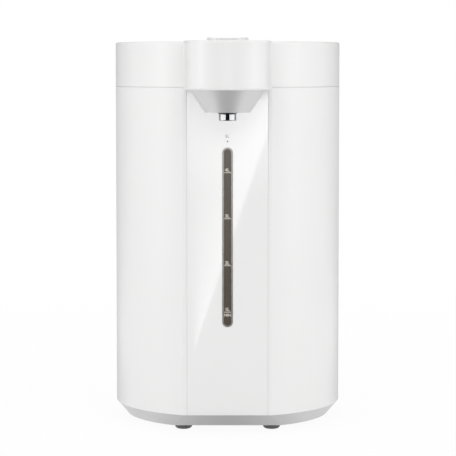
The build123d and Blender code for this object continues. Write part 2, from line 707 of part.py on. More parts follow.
def vessel_form(grow, top):
    """Solid with the inside shape of the vessel, grown outwards."""
    r = LINER_R + grow
    mouth = MOUTH_R + grow
    low = LINER_FLOOR - grow
    outline = FilletPolyline(
        (0, low), (r, low), (r, SHOULDER_Z), (mouth, NECK_Z), (mouth, top), (0, top),
        radius=[0, LINER_CORNER + grow, LINER_CORNER, 4, 0, 0], close=True)
    return Pos(0, POT_Y, 0) * revolve(Plane.XZ * make_face(outline), Axis.Z)


def vessel():
    """Thin steel pot with a necked mouth, a rolled bead and an outlet in its floor."""
    shape = vessel_form(LINER_T, RIM_Z - 1)
    bead = tube(MOUTH_R + BEAD_W, MOUTH_R + LINER_T / 2, RIM_Z - BEAD_H, RIM_Z, 0, POT_Y)
    bead = fillet(bead.edges().group_by(Axis.Z)[-1].sort_by(SortBy.LENGTH)[-1], BEAD_ROUND)
    shape += bead
    x = -PUMP_OFFSET
    shape += drum(STUB_R, LINER_FLOOR - 10.5, LINER_FLOOR - LINER_T / 2, x, -PUMP_Y)
    shape -= vessel_form(0, RIM_Z + 1)
    return shape - drum(STUB_BORE, LINER_FLOOR - 12, LINER_FLOOR + 1, x, -PUMP_Y)


def vessel_seal():
    """Silicone ring between the bead and the collar's ledge."""
    return tube(WELL_R - 0.4, MOUTH_R + LINER_T + 0.4, LEDGE_HIGH, RIM_Z - BEAD_H, 0, POT_Y)


def insulation_sleeve():
    """Felt sleeve round the vessel, slit at the front for the level tube."""
    r_in = LINER_R + LINER_T + RUN
    low = BAND_Z + BAND_H + 3
    shape = tube(r_in + SLEEVE_T, r_in, low, SLEEVE_HIGH, 0, POT_Y)
    return shape - block(-SLEEVE_SLOT, SLEEVE_SLOT, -BODY_R, 0, low - 1, SLEEVE_HIGH + 1)


def warm_band():
    """Keep-warm heater round the foot of the wall, clamped by its two ends at the back."""
    r_in = LINER_R + LINER_T + PUSH
    rear = POT_Y + r_in
    shape = tube(r_in + BAND_T, r_in, BAND_Z, BAND_Z + BAND_H, 0, POT_Y)
    shape += block(-6, 6, rear + 0.5, rear + 7, BAND_Z + 2, BAND_Z + BAND_H - 2)
    shape -= block(-1, 1, rear - 2, rear + 8, BAND_Z - 1, BAND_Z + BAND_H + 1)
    return shape - block(-SLEEVE_SLOT, SLEEVE_SLOT, -BODY_R, 0, BAND_Z - 1, BAND_Z + BAND_H + 1)


# ================================================================ heater

HEATER_HIGH = LINER_FLOOR - LINER_T
HEATER_LOW = HEATER_HIGH - HEATER_T
COIL_Z = HEATER_LOW - COIL_TUBE


def heater_plate():
    """Aluminium plate brazed under the vessel."""
    shape = drum(HEATER_R, HEATER_LOW, HEATER_HIGH, 0, HEATER_Y)
    return chamfer(shape.edges().group_by(Axis.Z)[0], 1.0)


def heater_coil():
    """Tubular element bent into an open ring, with its two cold ends turned down."""
    start = Pos(COIL_R, 0) * Circle(COIL_TUBE)
    ring = revolve(Plane.XZ * start, Axis.Z, 320)
    shape = Pos(0, HEATER_Y, COIL_Z) * Rot(0, 0, 110) * ring
    for angle in (110, 110 + 320):
        a = math.radians(angle)
        x = COIL_R * math.cos(a)
        y = HEATER_Y + COIL_R * math.sin(a)
        shape += drum(COIL_TUBE, COIL_Z - 9, COIL_Z, x, y) + Pos(x, y, COIL_Z) * Sphere(COIL_TUBE)
        shape += block(x - 0.4, x + 0.4, y - 2, y + 2, COIL_Z - 16, COIL_Z - 9)
    return shape


def thermostats():
    """Two snap-disc cut-outs on the heater plate."""
    shape = Part()
    for x in (-15, 15):
        y = HEATER_Y
        can = drum(CUTOUT_R, HEATER_LOW - 7, HEATER_LOW, x, y)
        spots = (x - 4, x + 4)
        tabs = [block(s - 0.4, s + 0.4, y - 2, y + 2, HEATER_LOW - 13, HEATER_LOW - 7) for s in spots]
        shape += can + tabs[0] + tabs[1]
    return shape


def thermistor():
    """Water temperature probe pressed on the heater plate."""
    shape = drum(3.0, HEATER_LOW - 6, HEATER_LOW, 0, HEATER_Y)
    return shape + drum(4.5, HEATER_LOW - 1.2, HEATER_LOW, 0, HEATER_Y)


# ================================================================ base

FLOOR_Z = BASE_LOW + FLOOR_T
FOOT_SPOTS = [(sx * FOOT_X, sy * FOOT_Y) for sx in (-1, 1) for sy in (-1, 1)]
HATCH_SPOTS = around(4, HATCH_SCREW_R, 45)
STANDOFF_SPOTS = [(s * (BOARD_X - 5), y) for s in (-1, 1) for y in (BOARD_Y[0] + 5, BOARD_Y[1] - 5)]
SHELL_SCREW_LOW = BASE_LOW + 2.4


def base_form(cut, z_low, z_high):
    """Tapered lower end of the pot, smaller all round by a cut."""
    def share(z, low, high):
        return low + (high - low) * (z - BASE_LOW) / (BODY_LOW - BASE_LOW) - cut

    def slice_at(z):
        corner = share(z, BASE_CORNER_LOW, CORNER_R)
        radius = share(z, BASE_R_LOW, BODY_R)
        return Pos(0, 0, z) * d_section(radius, share(z, BASE_FLAT_LOW, PANEL_PLANE), corner)
    return loft([slice_at(z_low), slice_at(z_high)], ruled=True)


def base_tub():
    """Grey tapered tub that closes the pot from below and carries the works."""
    shape = base_form(0, BASE_LOW, BODY_LOW) - base_form(BASE_WALL, FLOOR_Z, BODY_LOW + 0.01)
    lip = d_section(BODY_R - WALL - FIT, REBATE_PLANE - REBATE_T - FIT, CORNER_R - WALL)
    inner = d_section(BODY_R - WALL - 2, REBATE_PLANE - REBATE_T - 2, CORNER_R - WALL)
    shape += up(lip - inner, BODY_LOW - 1.5, BODY_LOW + 3.5)
    shape += tube(HATCH_R + 2.5, HATCH_SCREW_R - 4, FLOOR_Z, FLOOR_Z + 2)
    for x, y in HATCH_SPOTS:
        shape += drum(3.2, FLOOR_Z, FLOOR_Z + 6, x, y)
    for x, y in BOSS_SPOTS:
        shape += drum(BOSS_R, FLOOR_Z - 0.5, BOSS_LOW, x, y)
    for x, y in STANDOFF_SPOTS:
        shape += drum(3.0, FLOOR_Z, BOARD_Z, x, y)
    shape -= drum(HATCH_R + FIT, BASE_LOW - 1, FLOOR_Z)
    for x, y in HATCH_SPOTS:
        shape -= drum(SCREW_R + PUSH, FLOOR_Z - 1, FLOOR_Z + 5, x, y)
    for x, y in BOSS_SPOTS:
        shape -= drum(SCREW_R + 0.3, BASE_LOW - 1, BODY_LOW + 5, x, y)
        shape -= drum(SCREW_HEAD_R + 0.5, BASE_LOW - 1, SHELL_SCREW_LOW + 2, x, y)
    for x, y in STANDOFF_SPOTS:
        shape -= drum(SCREW_R + PUSH, BASE_LOW + 1, BOARD_Z + 1, x, y)
    for x, y in FOOT_SPOTS:
        shape -= drum(FOOT_STEM_R + PUSH, BASE_LOW - 1, FLOOR_Z + 1, x, y)
    return shape


def service_hatch():
    """Round plate under the base, slotted to let warm air out."""
    shape = drum(HATCH_R, BASE_LOW, FLOOR_Z)
    for i in range(12):
        slot = Pos(11.5, 0) * SlotOverall(13, 2)
        shape -= Rot(0, 0, 30 * i + 15) * up(slot, BASE_LOW - 1, FLOOR_Z + 1)
    for x, y in HATCH_SPOTS:
        shape -= drum(SCREW_R + 0.2, BASE_LOW - 1, FLOOR_Z + 1, x, y)
        shape -= drum(SCREW_HEAD_R + 0.3, BASE_LOW - 1, BASE_LOW + 1.6, x, y)
    return shape


def feet():
    """Four rubber feet, each pushed through the floor and held by a barb."""
    head = FLOOR_Z + PUSH
    rim = BASE_LOW - FOOT_NECK
    dish = drum(FOOT_R, 0, rim)
    dish = fillet(dish.edges().group_by(Axis.Z)[0], FOOT_ROUND)
    stem = turned([
        (0, rim - 1), (FOOT_R - FOOT_NECK, rim - 1), (FOOT_R - FOOT_NECK, BASE_LOW), (FOOT_STEM_R, BASE_LOW),
        (FOOT_STEM_R, head), (FOOT_STEM_R + 1.1, head), (FOOT_STEM_R - 0.6, head + 2.4), (0, head + 2.4)])
    foot = dish + stem
    return group([Pos(x, y, 0) * foot for x, y in FOOT_SPOTS])


# ================================================================ pump and motor

PUMP_X = -PUMP_OFFSET
BRACKET_T = 1.6
MOTOR_LOW = FLOOR_Z + BRACKET_T
MOTOR_HIGH = MOTOR_LOW + MOTOR_H
MAGNET_LOW = MOTOR_HIGH + 1.0
BARRIER_LOW = MAGNET_LOW + MAGNET_T + 1.0
CHAMBER_LOW = BARRIER_LOW + 1.5
CHAMBER_HIGH = CHAMBER_LOW + CHAMBER_H
OUTLET_Z = CHAMBER_LOW + CHAMBER_H / 2
CHAMBER_R = PUMP_R - PUMP_WALL
STUB_HIGH = CHAMBER_HIGH + COVER_T + 9
OUTLET_END = PUMP_Y + 24
SPINDLE_R = 1.2


def at_pump(shape):
    """Moves a piece made round the origin to the pump's axis."""
    return Pos(PUMP_X, -PUMP_Y, 0) * shape


def pump_bracket():
    """Cup with a flange that holds the motor on the floor."""
    shape = drum(PUMP_R + 1.5, FLOOR_Z, MOTOR_LOW)
    shape += tube(MOTOR_R + BRACKET_T, MOTOR_R + PUSH, FLOOR_Z, MOTOR_LOW + CUP_H)
    return at_pump(shape)


def motor_case():
    """Steel can of the pump motor."""
    shape = drum(MOTOR_R, MOTOR_LOW, MOTOR_HIGH)
    shape -= drum(ROTOR_R + 0.8, MOTOR_LOW + 2.5, MOTOR_HIGH - 2)
    return at_pump(shape - drum(SHAFT_R + SHAFT, MOTOR_LOW + 0.6, MOTOR_HIGH + 1))


def motor_rotor():
    """Rotor, shaft and the driving magnet on top of it."""
    shape = drum(SHAFT_R, MOTOR_LOW + 0.8, MAGNET_LOW + 1)
    shape += drum(ROTOR_R, MOTOR_LOW + 3.2, MOTOR_HIGH - 2.7)
    shape += drum(MAGNET_R, MAGNET_LOW, MAGNET_LOW + MAGNET_T)
    for x, y in around(4, MAGNET_R - 4):
        shape -= drum(2, MAGNET_LOW + MAGNET_T - 0.6, MAGNET_LOW + MAGNET_T + 1, x, y)
    return at_pump(shape)


def pump_housing():
    """Wet housing over the magnet, with a spindle and a tangential outlet."""
    shape = drum(PUMP_R, MOTOR_HIGH - 6, CHAMBER_HIGH)
    shape += long_rod(TUBE_R, PUMP_OFFSET, -OUTLET_END + PUMP_Y, -2, OUTLET_Z)
    shape -= drum(MOTOR_R + PUSH, MOTOR_HIGH - 7, MOTOR_HIGH)
    shape -= drum(MAGNET_R + 1, MOTOR_HIGH - 1, BARRIER_LOW)
    shape -= drum(CHAMBER_R, CHAMBER_LOW, CHAMBER_HIGH + 1)
    shape -= long_rod(TUBE_BORE, PUMP_OFFSET, -OUTLET_END + PUMP_Y - 1, 0, OUTLET_Z)
    return at_pump(shape + drum(SPINDLE_R, CHAMBER_LOW - 0.5, CHAMBER_HIGH - 1.5))


def pump_cover():
    """Lid of the pump with its inlet stub."""
    shape = drum(PUMP_R, CHAMBER_HIGH, CHAMBER_HIGH + COVER_T) + drum(STUB_R, CHAMBER_HIGH, STUB_HIGH)
    return at_pump(shape - drum(STUB_BORE, CHAMBER_HIGH - 1, STUB_HIGH + 1))


def impeller():
    """Open impeller with swept blades round a hub."""
    low = CHAMBER_LOW + 0.5
    high = CHAMBER_HIGH - 1.8
    shape = drum(IMPELLER_R, low, low + 1.6) + drum(3.4, low, high)
    for i in range(BLADES):
        blade = Pos(IMPELLER_R / 2 + 0.4, 2.2, 0) * Rot(0, 0, -18) * Box(IMPELLER_R - 2.4, 1.2, high - low)
        shape += Rot(0, 0, 360 / BLADES * i) * Pos(0, 0, (low + high) / 2) * blade
    shape = shape & drum(IMPELLER_R, low, high)
    return at_pump(shape - drum(SPINDLE_R + SHAFT, low - 1, high + 1))


def inlet_hose():
    """Short silicone hose from the vessel's outlet to the pump."""
    low = CHAMBER_HIGH + COVER_T + 2
    return tube(STUB_R + 2.2, STUB_R + PUSH, low, LINER_FLOOR - 3.5, PUMP_X, -PUMP_Y)


def outlet_hose():
    """Silicone hose from the pump, bent up to the foot of the level tube."""
    route = FilletPolyline(
        (0, -OUTLET_END + 6.5, OUTLET_Z), (0, -TUBE_Y, OUTLET_Z), (0, -TUBE_Y, GAUGE_LOW - 5), radius=12)
    return pipe(route, TUBE_R + HOSE_T, TUBE_R + PUSH)


def level_tube():
    """Clear tube behind the gauge; the water in it stands as high as in the vessel."""
    return tube(TUBE_R, TUBE_BORE, GAUGE_LOW - 16, RIM_Z, 0, -TUBE_Y)


def tube_coupler():
    """Silicone sleeve that joins the level tube to the spout pipe."""
    return tube(TUBE_R + HOSE_T, TUBE_R + PUSH, RIM_Z - 7, RIM_Z + 7, 0, -TUBE_Y)


# ================================================================ power

INLET_FACE = math.sqrt(BODY_R**2 - INLET_HALF**2)


def power_board():
    """Driver board flat over the rear of the floor."""
    shape = block(-BOARD_X, BOARD_X, BOARD_Y[0], BOARD_Y[1], BOARD_Z, BOARD_Z + BOARD_T)
    for x, y in STANDOFF_SPOTS:
        shape -= drum(SCREW_R + 0.1, BOARD_Z - 1, BOARD_Z + 3, x, y)
    return shape


def board_parts():
    """Transformer, relay, smoothing capacitor, terminals and heat sink on the board."""
    z = BOARD_Z + BOARD_T
    front = BOARD_Y[0] + 10
    rear = BOARD_Y[1] - 10
    wide, deep, high = TRANSFORMER
    left = -BOARD_X + 10
    transformer = block(left, left + wide, front, front + deep, z, z + high)
    transformer = chamfer(transformer.edges().filter_by(Axis.Z), 1.5)
    wide, deep, high = RELAY
    left += TRANSFORMER[0] + 8
    relay = block(left, left + wide, front, front + deep, z, z + high)
    capacitor = drum(CAPACITOR_R, z, z + CAPACITOR_H, left + wide + 2 * CAPACITOR_R - 1, front + 10)
    wide, deep, high = TERMINAL
    terminals = [block(x, x + wide, rear, rear + deep, z, z + high) for x in (-6, 4, 14, 24)]
    right = BOARD_X - 6
    left = right - SINK_W
    middle = (left + right) / 2
    high = z + SINK_H
    sink = block(left, right, front, front + 2, z, high)
    sink += block(middle - 1, middle + 1, front, front + 12, z, high)
    for i in range(4):
        fin = front + 3.5 + FIN_STEP * i
        sink += block(left, right, fin, fin + 1, z + 3, high)
    return group([transformer, relay, capacitor] + terminals + [sink])


def inlet_socket():
    """Recessed power inlet in the back of the body."""
    low = INLET_Z - INLET_H / 2
    face = INLET_FACE - 0.2
    back = face - INLET_BACK
    shape = block(-INLET_HALF, INLET_HALF, back, face, low, low + INLET_H)
    shape = fillet(shape.edges().filter_by(Axis.Y), 3)
    wall = INLET_WALL
    half = INLET_HALF - wall
    recess = block(-half, half, face - INLET_DEPTH, face + 1, low + wall, low + INLET_H - wall)
    shape -= fillet(recess.edges().filter_by(Axis.Y), 2)
    for x in (-INLET_PIN_X, INLET_PIN_X):
        shape -= long_rod(INLET_PIN_R + PUSH, x, back - 1, face, INLET_Z)
    return shape


def inlet_pins():
    """The two contact pins."""
    face = INLET_FACE - 0.2
    pins = []
    for x in (-INLET_PIN_X, INLET_PIN_X):
        pin = long_rod(INLET_PIN_R, x, face - INLET_BACK - 6, face - 2.5, INLET_Z)
        pins.append(chamfer(pin.edges().group_by(Axis.Y)[-1], 0.6))
    return group(pins)


# ================================================================ lid

LID_TOP_UNDER = TOP_Z - LID_TOP_T
LID_R_LOW = LID_R - LID_DRAFT
LID_SCREW_SPOTS = around(6, LID_SCREW_CIRCLE, 0, 0, POT_Y)
BASE_PLATE_LOW = LID_LOW + 0.2
BASE_PLATE_HIGH = BASE_PLATE_LOW + BASE_PLATE_T
VENT_FLOOR = TOP_Z - 12.5
DUCT_FLOOR = PAN_LOW + 1.4
STEAM_BALL_Z = DUCT_FLOOR + rest_height(STEAM_BALL_R)
LATCH_LOW = TOP_Z - 5.2
SLOT_REAR = -LATCH_FRONT + LATCH_LEN + LATCH_TRAVEL + RUN
TONGUE_TIP = LID_R - POT_Y - 0.1


def lid_form(cut, z_low, z_high, back):
    """Tapered round lid, smaller by a cut and straight across the back."""
    points = [
        (0, z_low), (LID_R_LOW - cut, z_low), (LID_R - cut, TOP_Z - LID_STRAIGHT),
        (LID_R - cut, z_high), (0, z_high)]
    return turned(points, 0, POT_Y) & block(-BODY_R, BODY_R, -BODY_R, back, 0, TOP_Z + 1)


def lid_cover():
    """Outer shell of the lid with its hinge knuckles, latch slides and screw posts."""
    shape = lid_form(0, LID_LOW, TOP_Z, LID_BACK)
    shape = chamfer(shape.edges().group_by(Axis.Z)[-1], LID_EDGE)
    shape -= lid_form(LID_WALL, LID_LOW, LID_TOP_UNDER, LID_BACK - LID_WALL)
    for x, y in LID_SCREW_SPOTS:
        shape += drum(3.4, BASE_PLATE_HIGH, LID_TOP_UNDER + 0.5, x, y)
        shape -= drum(SCREW_R + PUSH, BASE_PLATE_HIGH - 1, BASE_PLATE_HIGH + 12, x, y)
    shape += drum(CAP_R + RUN + 1.8, VENT_FLOOR - 1.8, LID_TOP_UNDER + 0.5, 0, VENT_Y)
    shape -= drum(CAP_R + RUN, VENT_FLOOR, TOP_Z + 1, 0, VENT_Y)
    shape -= drum(DUCT_R + FIT, VENT_FLOOR - 3, VENT_FLOOR + 1, 0, VENT_Y)
    for side in (-1, 1):
        low, high = sorted((side * LID_KNUCKLE[0], side * LID_KNUCKLE[1]))
        leaf = block(low, high, LID_BACK - 1, HINGE_Y, HINGE_Z - LEAF_HALF, HINGE_Z + LEAF_HALF)
        shape += leaf + cross_rod(KNUCKLE_R, low, high, HINGE_Y, HINGE_Z)
        shape -= cross_rod(PIN_R + SHAFT, low - 1, high + 1, HINGE_Y, HINGE_Z)
        rail_in = side * (LATCH_HALF + LATCH_T + RUN)
        rail_out = side * (LATCH_HALF + LATCH_T + RUN + 2)
        lip_in = side * (LATCH_HALF + 0.8)
        front = -LATCH_FRONT - 1.5
        low, high = sorted((rail_in, rail_out))
        shape += block(low, high, front, SLOT_REAR + 3, LATCH_LOW - 2.3, LID_TOP_UNDER + 0.5)
        low, high = sorted((lip_in, rail_out))
        shape += block(low, high, front, SLOT_REAR + 3, LATCH_LOW - 2.3, LATCH_LOW - RUN)
    slot = LATCH_HALF + RUN
    shape -= block(-slot, slot, -LATCH_FRONT - RUN, SLOT_REAR, LID_TOP_UNDER - 0.01, TOP_Z + 1)
    half = TONGUE_HALF + RUN
    slot = TONGUE_T / 2 + RUN
    shape -= block(-half, half, -LID_R, -LATCH_FRONT, TONGUE_Z - slot, TONGUE_Z + slot)
    return shape


def lid_base():
    """Plastic plate that closes the lid from below."""
    shape = lid_form(LID_WALL + RUN, BASE_PLATE_LOW, TOP_Z, LID_BACK - LID_WALL - RUN)
    shape = shape & block(-BODY_R, BODY_R, -BODY_R, BODY_R, BASE_PLATE_LOW, BASE_PLATE_HIGH)
    for x, y in LID_SCREW_SPOTS:
        shape -= drum(SCREW_R + 0.2, LID_LOW, BASE_PLATE_HIGH + 1, x, y)
        shape -= drum(SCREW_HEAD_R + 0.3, LID_LOW - 1, BASE_PLATE_LOW + 0.9, x, y)
    return shape - drum(DUCT_R + FIT, LID_LOW, BASE_PLATE_HIGH + 1, 0, VENT_Y)


def inner_lid():
    """Pressed steel pan that faces the water."""
    high = BASE_PLATE_LOW
    rise = PAN_R - 1.6
    points = [
        (0, PAN_LOW), (PAN_FLAT_R, PAN_LOW), (rise, high - PAN_T), (PAN_R, high - PAN_T),
        (PAN_R, high), (rise - 0.4, high), (PAN_FLAT_R - 0.4, PAN_LOW + PAN_T), (0, PAN_LOW + PAN_T)]
    shape = turned(points, 0, POT_Y)
    return shape - drum(DUCT_R + FIT, PAN_LOW - 1, high + 1, 0, VENT_Y)


def lid_gasket():
    """Silicone lip round the pan that closes on the vessel's bead."""
    points = [
        (GASKET_IN, LID_LOW), (GASKET_IN, LID_LOW - 1.6),
        (GASKET_IN + 1.6, GASKET_LOW), (GASKET_OUT - 1.2, GASKET_LOW),
        (GASKET_OUT, GASKET_LOW + 1.4), (GASKET_OUT, LID_LOW)]
    return turned(points, 0, POT_Y)


def lid_foam():
    """Foam pad that keeps the heat in."""
    shape = lid_form(LID_WALL + 4, BASE_PLATE_HIGH, TOP_Z, LID_BACK - LID_WALL - 3)
    shape = shape & block(-BODY_R, BODY_R, -BODY_R, BODY_R, BASE_PLATE_HIGH, VENT_FLOOR - 3)
    for x, y in LID_SCREW_SPOTS:
        shape -= drum(4.2, LID_LOW, TOP_Z, x, y)
    return shape - drum(DUCT_R + 1, LID_LOW, TOP_Z, 0, VENT_Y)


def steam_cap():
    """Slotted cap flush in the lid's top."""
    high = TOP_Z - 0.4
    shape = drum(CAP_R, VENT_FLOOR + 1, high, 0, VENT_Y) - drum(CAP_R - 1.5, VENT_FLOOR, high - 2, 0, VENT_Y)
    for i in range(5):
        x = -8 + 4 * i
        half = math.sqrt((CAP_R - 3) ** 2 - x**2) - 1
        shape -= block(x - 0.9, x + 0.9, VENT_Y - half, VENT_Y + half, high - 3, high + 1)
    return shape


def steam_duct():
    """Tube that leads steam from the pan to the cap, with a cage for its ball."""
    low = PAN_LOW
    shape = drum(DUCT_R, low, VENT_FLOOR + 1, 0, VENT_Y)
    shape -= drum(DUCT_R - DUCT_T, DUCT_FLOOR, VENT_FLOOR + 2, 0, VENT_Y)
    shape -= drum(DRAIN_R, low - 1, low + 3, 0, VENT_Y)
    for turn in (0, 60, 120):
        cut = block(-DUCT_R + DUCT_T, DUCT_R - DUCT_T, -0.7, 0.7, low - 1, low + 3)
        shape -= Pos(0, VENT_Y, 0) * Rot(0, 0, turn) * cut
    seat = STEAM_BALL_Z + STEAM_BALL_R + BALL_LIFT + RUN
    return shape + tube(DUCT_R - DUCT_T / 2, 3.2, seat, seat + 1.4, 0, VENT_Y)


def steam_ball():
    """Ball that closes the duct when the pot falls over."""
    return Pos(0, VENT_Y, STEAM_BALL_Z) * Sphere(STEAM_BALL_R)


def lid_latch():
    """Slide with a thumb pad and a tongue that holds the lid shut."""
    rear = -LATCH_FRONT + LATCH_LEN
    pad = block(-LATCH_HALF, LATCH_HALF, -LATCH_FRONT, rear, LATCH_LOW, TOP_Z - 0.4)
    for i in range(3):
        y = -LATCH_FRONT + 4 + 4 * i
        pad -= cross_rod(0.8, -LATCH_HALF + 3, LATCH_HALF - 3, y, TOP_Z - 0.2)
    wide = LATCH_HALF + LATCH_T
    slide = block(-wide, wide, -LATCH_FRONT, rear, LATCH_LOW, LID_TOP_UNDER - RUN)
    tongue = block(
        -TONGUE_HALF, TONGUE_HALF, -TONGUE_TIP + 0.4, -LATCH_FRONT + 1,
        TONGUE_Z - TONGUE_T / 2, TONGUE_Z + TONGUE_T / 2)
    return pad + slide + tongue


# ================================================================ fasteners

def screws(spots, z_head, length, head_up=False):
    """A group of equal screws."""
    return group([screw(x, y, z_head, length, head_up) for x, y in spots])


# ================================================================ writing the pieces

PIECES = {
    "body_shell": body_shell(),
    "front_panel": front_panel(),
    "gauge_bezel": gauge_bezel(),
    "gauge_lens": gauge_lens(),
    "collar": collar(),
    "control_overlay": control_overlay(),
    "hinge_pin": hinge_pin(),
    "handle_pins": handle_pins(),
    "carry_handle": carry_handle(),
    "spout_hood": spout_hood(),
    "nozzle": nozzle(),
    "tip_valve_body": tip_valve_body(),
    "tip_ball": tip_ball(),
    "spout_pipe": spout_pipe(),
    "knob_ring": knob_ring(),
    "dispense_button": dispense_button(),
    "button_spring": button_spring(),
    "encoder": encoder(),
    "control_board": control_board(),
    "vessel": vessel(),
    "vessel_seal": vessel_seal(),
    "insulation_sleeve": insulation_sleeve(),
    "warm_band": warm_band(),
    "heater_plate": heater_plate(),
    "heater_coil": heater_coil(),
    "thermostats": thermostats(),
    "thermistor": thermistor(),
    "base_tub": base_tub(),
    "service_hatch": service_hatch(),
    "feet": feet(),
    "pump_bracket": pump_bracket(),
    "motor_case": motor_case(),
    "motor_rotor": motor_rotor(),
    "pump_housing": pump_housing(),
    "pump_cover": pump_cover(),
    "impeller": impeller(),
    "inlet_hose": inlet_hose(),
    "outlet_hose": outlet_hose(),
    "level_tube": level_tube(),
    "tube_coupler": tube_coupler(),
    "power_board": power_board(),
    "board_parts": board_parts(),
    "inlet_socket": inlet_socket(),
    "inlet_pins": inlet_pins(),
    "lid_cover": lid_cover(),
    "lid_base": lid_base(),
    "inner_lid": inner_lid(),
    "lid_gasket": lid_gasket(),
    "lid_foam": lid_foam(),
    "steam_cap": steam_cap(),
    "steam_duct": steam_duct(),
    "steam_ball": steam_ball(),
    "lid_latch": lid_latch(),
    "lid_screws": screws(LID_SCREW_SPOTS, BASE_PLATE_LOW - SCREW_HEAD_T / 2, LID_SCREW_LEN),
    "hatch_screws": screws(HATCH_SPOTS, BASE_LOW - FIT, HATCH_SCREW_LEN),
    "shell_screws": screws(BOSS_SPOTS, SHELL_SCREW_LOW, SHELL_SCREW_LEN),
    "collar_screws": screws(LUG_SPOTS, LUG_LOW - SCREW_HEAD_T, COLLAR_SCREW_LEN),
    "board_screws": screws(STANDOFF_SPOTS, BOARD_Z + BOARD_T + SCREW_HEAD_T, BOARD_SCREW_LEN, True),
    "control_screws": screws(POST_SPOTS, CONTROL_BOARD_Z - SCREW_HEAD_T, CONTROL_SCREW_LEN),
}

# The row's origin is the middle of the footprint, so the body axis lies behind it.
AXIS_Y = (NOSE_FRONT - BODY_R) / 2
for name, piece in PIECES.items():
    export_step(Pos(0, AXIS_Y, 0) * piece, "parts/" + name + ".step")
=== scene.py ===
import math

import bpy
import numpy as np
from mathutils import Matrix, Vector


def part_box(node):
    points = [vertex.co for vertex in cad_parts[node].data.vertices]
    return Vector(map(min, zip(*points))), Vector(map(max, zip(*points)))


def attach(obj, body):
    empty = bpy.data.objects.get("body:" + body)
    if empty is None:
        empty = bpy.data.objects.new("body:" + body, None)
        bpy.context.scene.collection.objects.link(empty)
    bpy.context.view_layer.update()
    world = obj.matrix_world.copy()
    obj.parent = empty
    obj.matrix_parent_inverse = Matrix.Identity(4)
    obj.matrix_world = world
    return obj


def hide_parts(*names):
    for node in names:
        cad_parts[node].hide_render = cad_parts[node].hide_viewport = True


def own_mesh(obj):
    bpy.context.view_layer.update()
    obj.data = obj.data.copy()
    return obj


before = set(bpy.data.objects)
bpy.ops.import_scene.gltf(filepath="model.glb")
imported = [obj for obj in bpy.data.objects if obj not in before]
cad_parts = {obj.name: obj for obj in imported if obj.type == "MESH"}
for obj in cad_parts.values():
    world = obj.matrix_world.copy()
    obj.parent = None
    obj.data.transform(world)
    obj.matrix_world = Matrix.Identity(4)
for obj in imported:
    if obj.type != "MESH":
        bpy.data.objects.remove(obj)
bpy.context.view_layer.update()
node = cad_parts

# ---- studio camera
# A long lens on a tripod, a little lower than the top of the pot and tilted down by
# less than four degrees, so that the upright sides stay close to parallel.
CAMERA_BACK = 1.7706
CAMERA_HIGH = 0.3276
CAMERA_SIDE = 0.0004
CAMERA_TILT = math.radians(3.831)
CAMERA_LENS = 151.4
CAMERA_SHIFT = -0.07
SENSOR_WIDTH = 36

camera = bpy.data.objects.new("studio_camera", bpy.data.cameras.new("studio_camera"))
bpy.context.collection.objects.link(camera)
camera.data.sensor_width = SENSOR_WIDTH
camera.data.lens = CAMERA_LENS
camera.data.shift_y = CAMERA_SHIFT
camera.location = (CAMERA_SIDE, -CAMERA_BACK, CAMERA_HIGH)
camera.rotation_euler = (math.pi / 2 - CAMERA_TILT, 0, 0)
bpy.context.scene.camera = camera
bpy.context.scene.view_settings.view_transform = "Standard"


# ---- base
# The tub that the pot stands on, its round cover and the hood of the spout are moulded in
# silver-grey plastic, the hood a shade lighter. Fine metal flake in it catches the light.
BASE_GREY = (0.59, 0.59, 0.595)
HOOD_GREY = (0.655, 0.655, 0.66)


class Feed:
    """A value inside a finish: sums, differences and products of feeds become Math nodes."""

    def __init__(self, finish, socket):
        self.finish = finish
        self.socket = socket

    def other(self, name):
        """Another output of the same node."""
        return Feed(self.finish, self.socket.node.outputs[name])

    def __add__(self, other):
        return self.finish.maths("ADD", self, other)

    __radd__ = __add__

    def __sub__(self, other):
        return self.finish.maths("SUBTRACT", self, other)

    def __rsub__(self, other):
        return self.finish.maths("SUBTRACT", other, self)

    def __mul__(self, other):
        return self.finish.maths("MULTIPLY", self, other)

    __rmul__ = __mul__


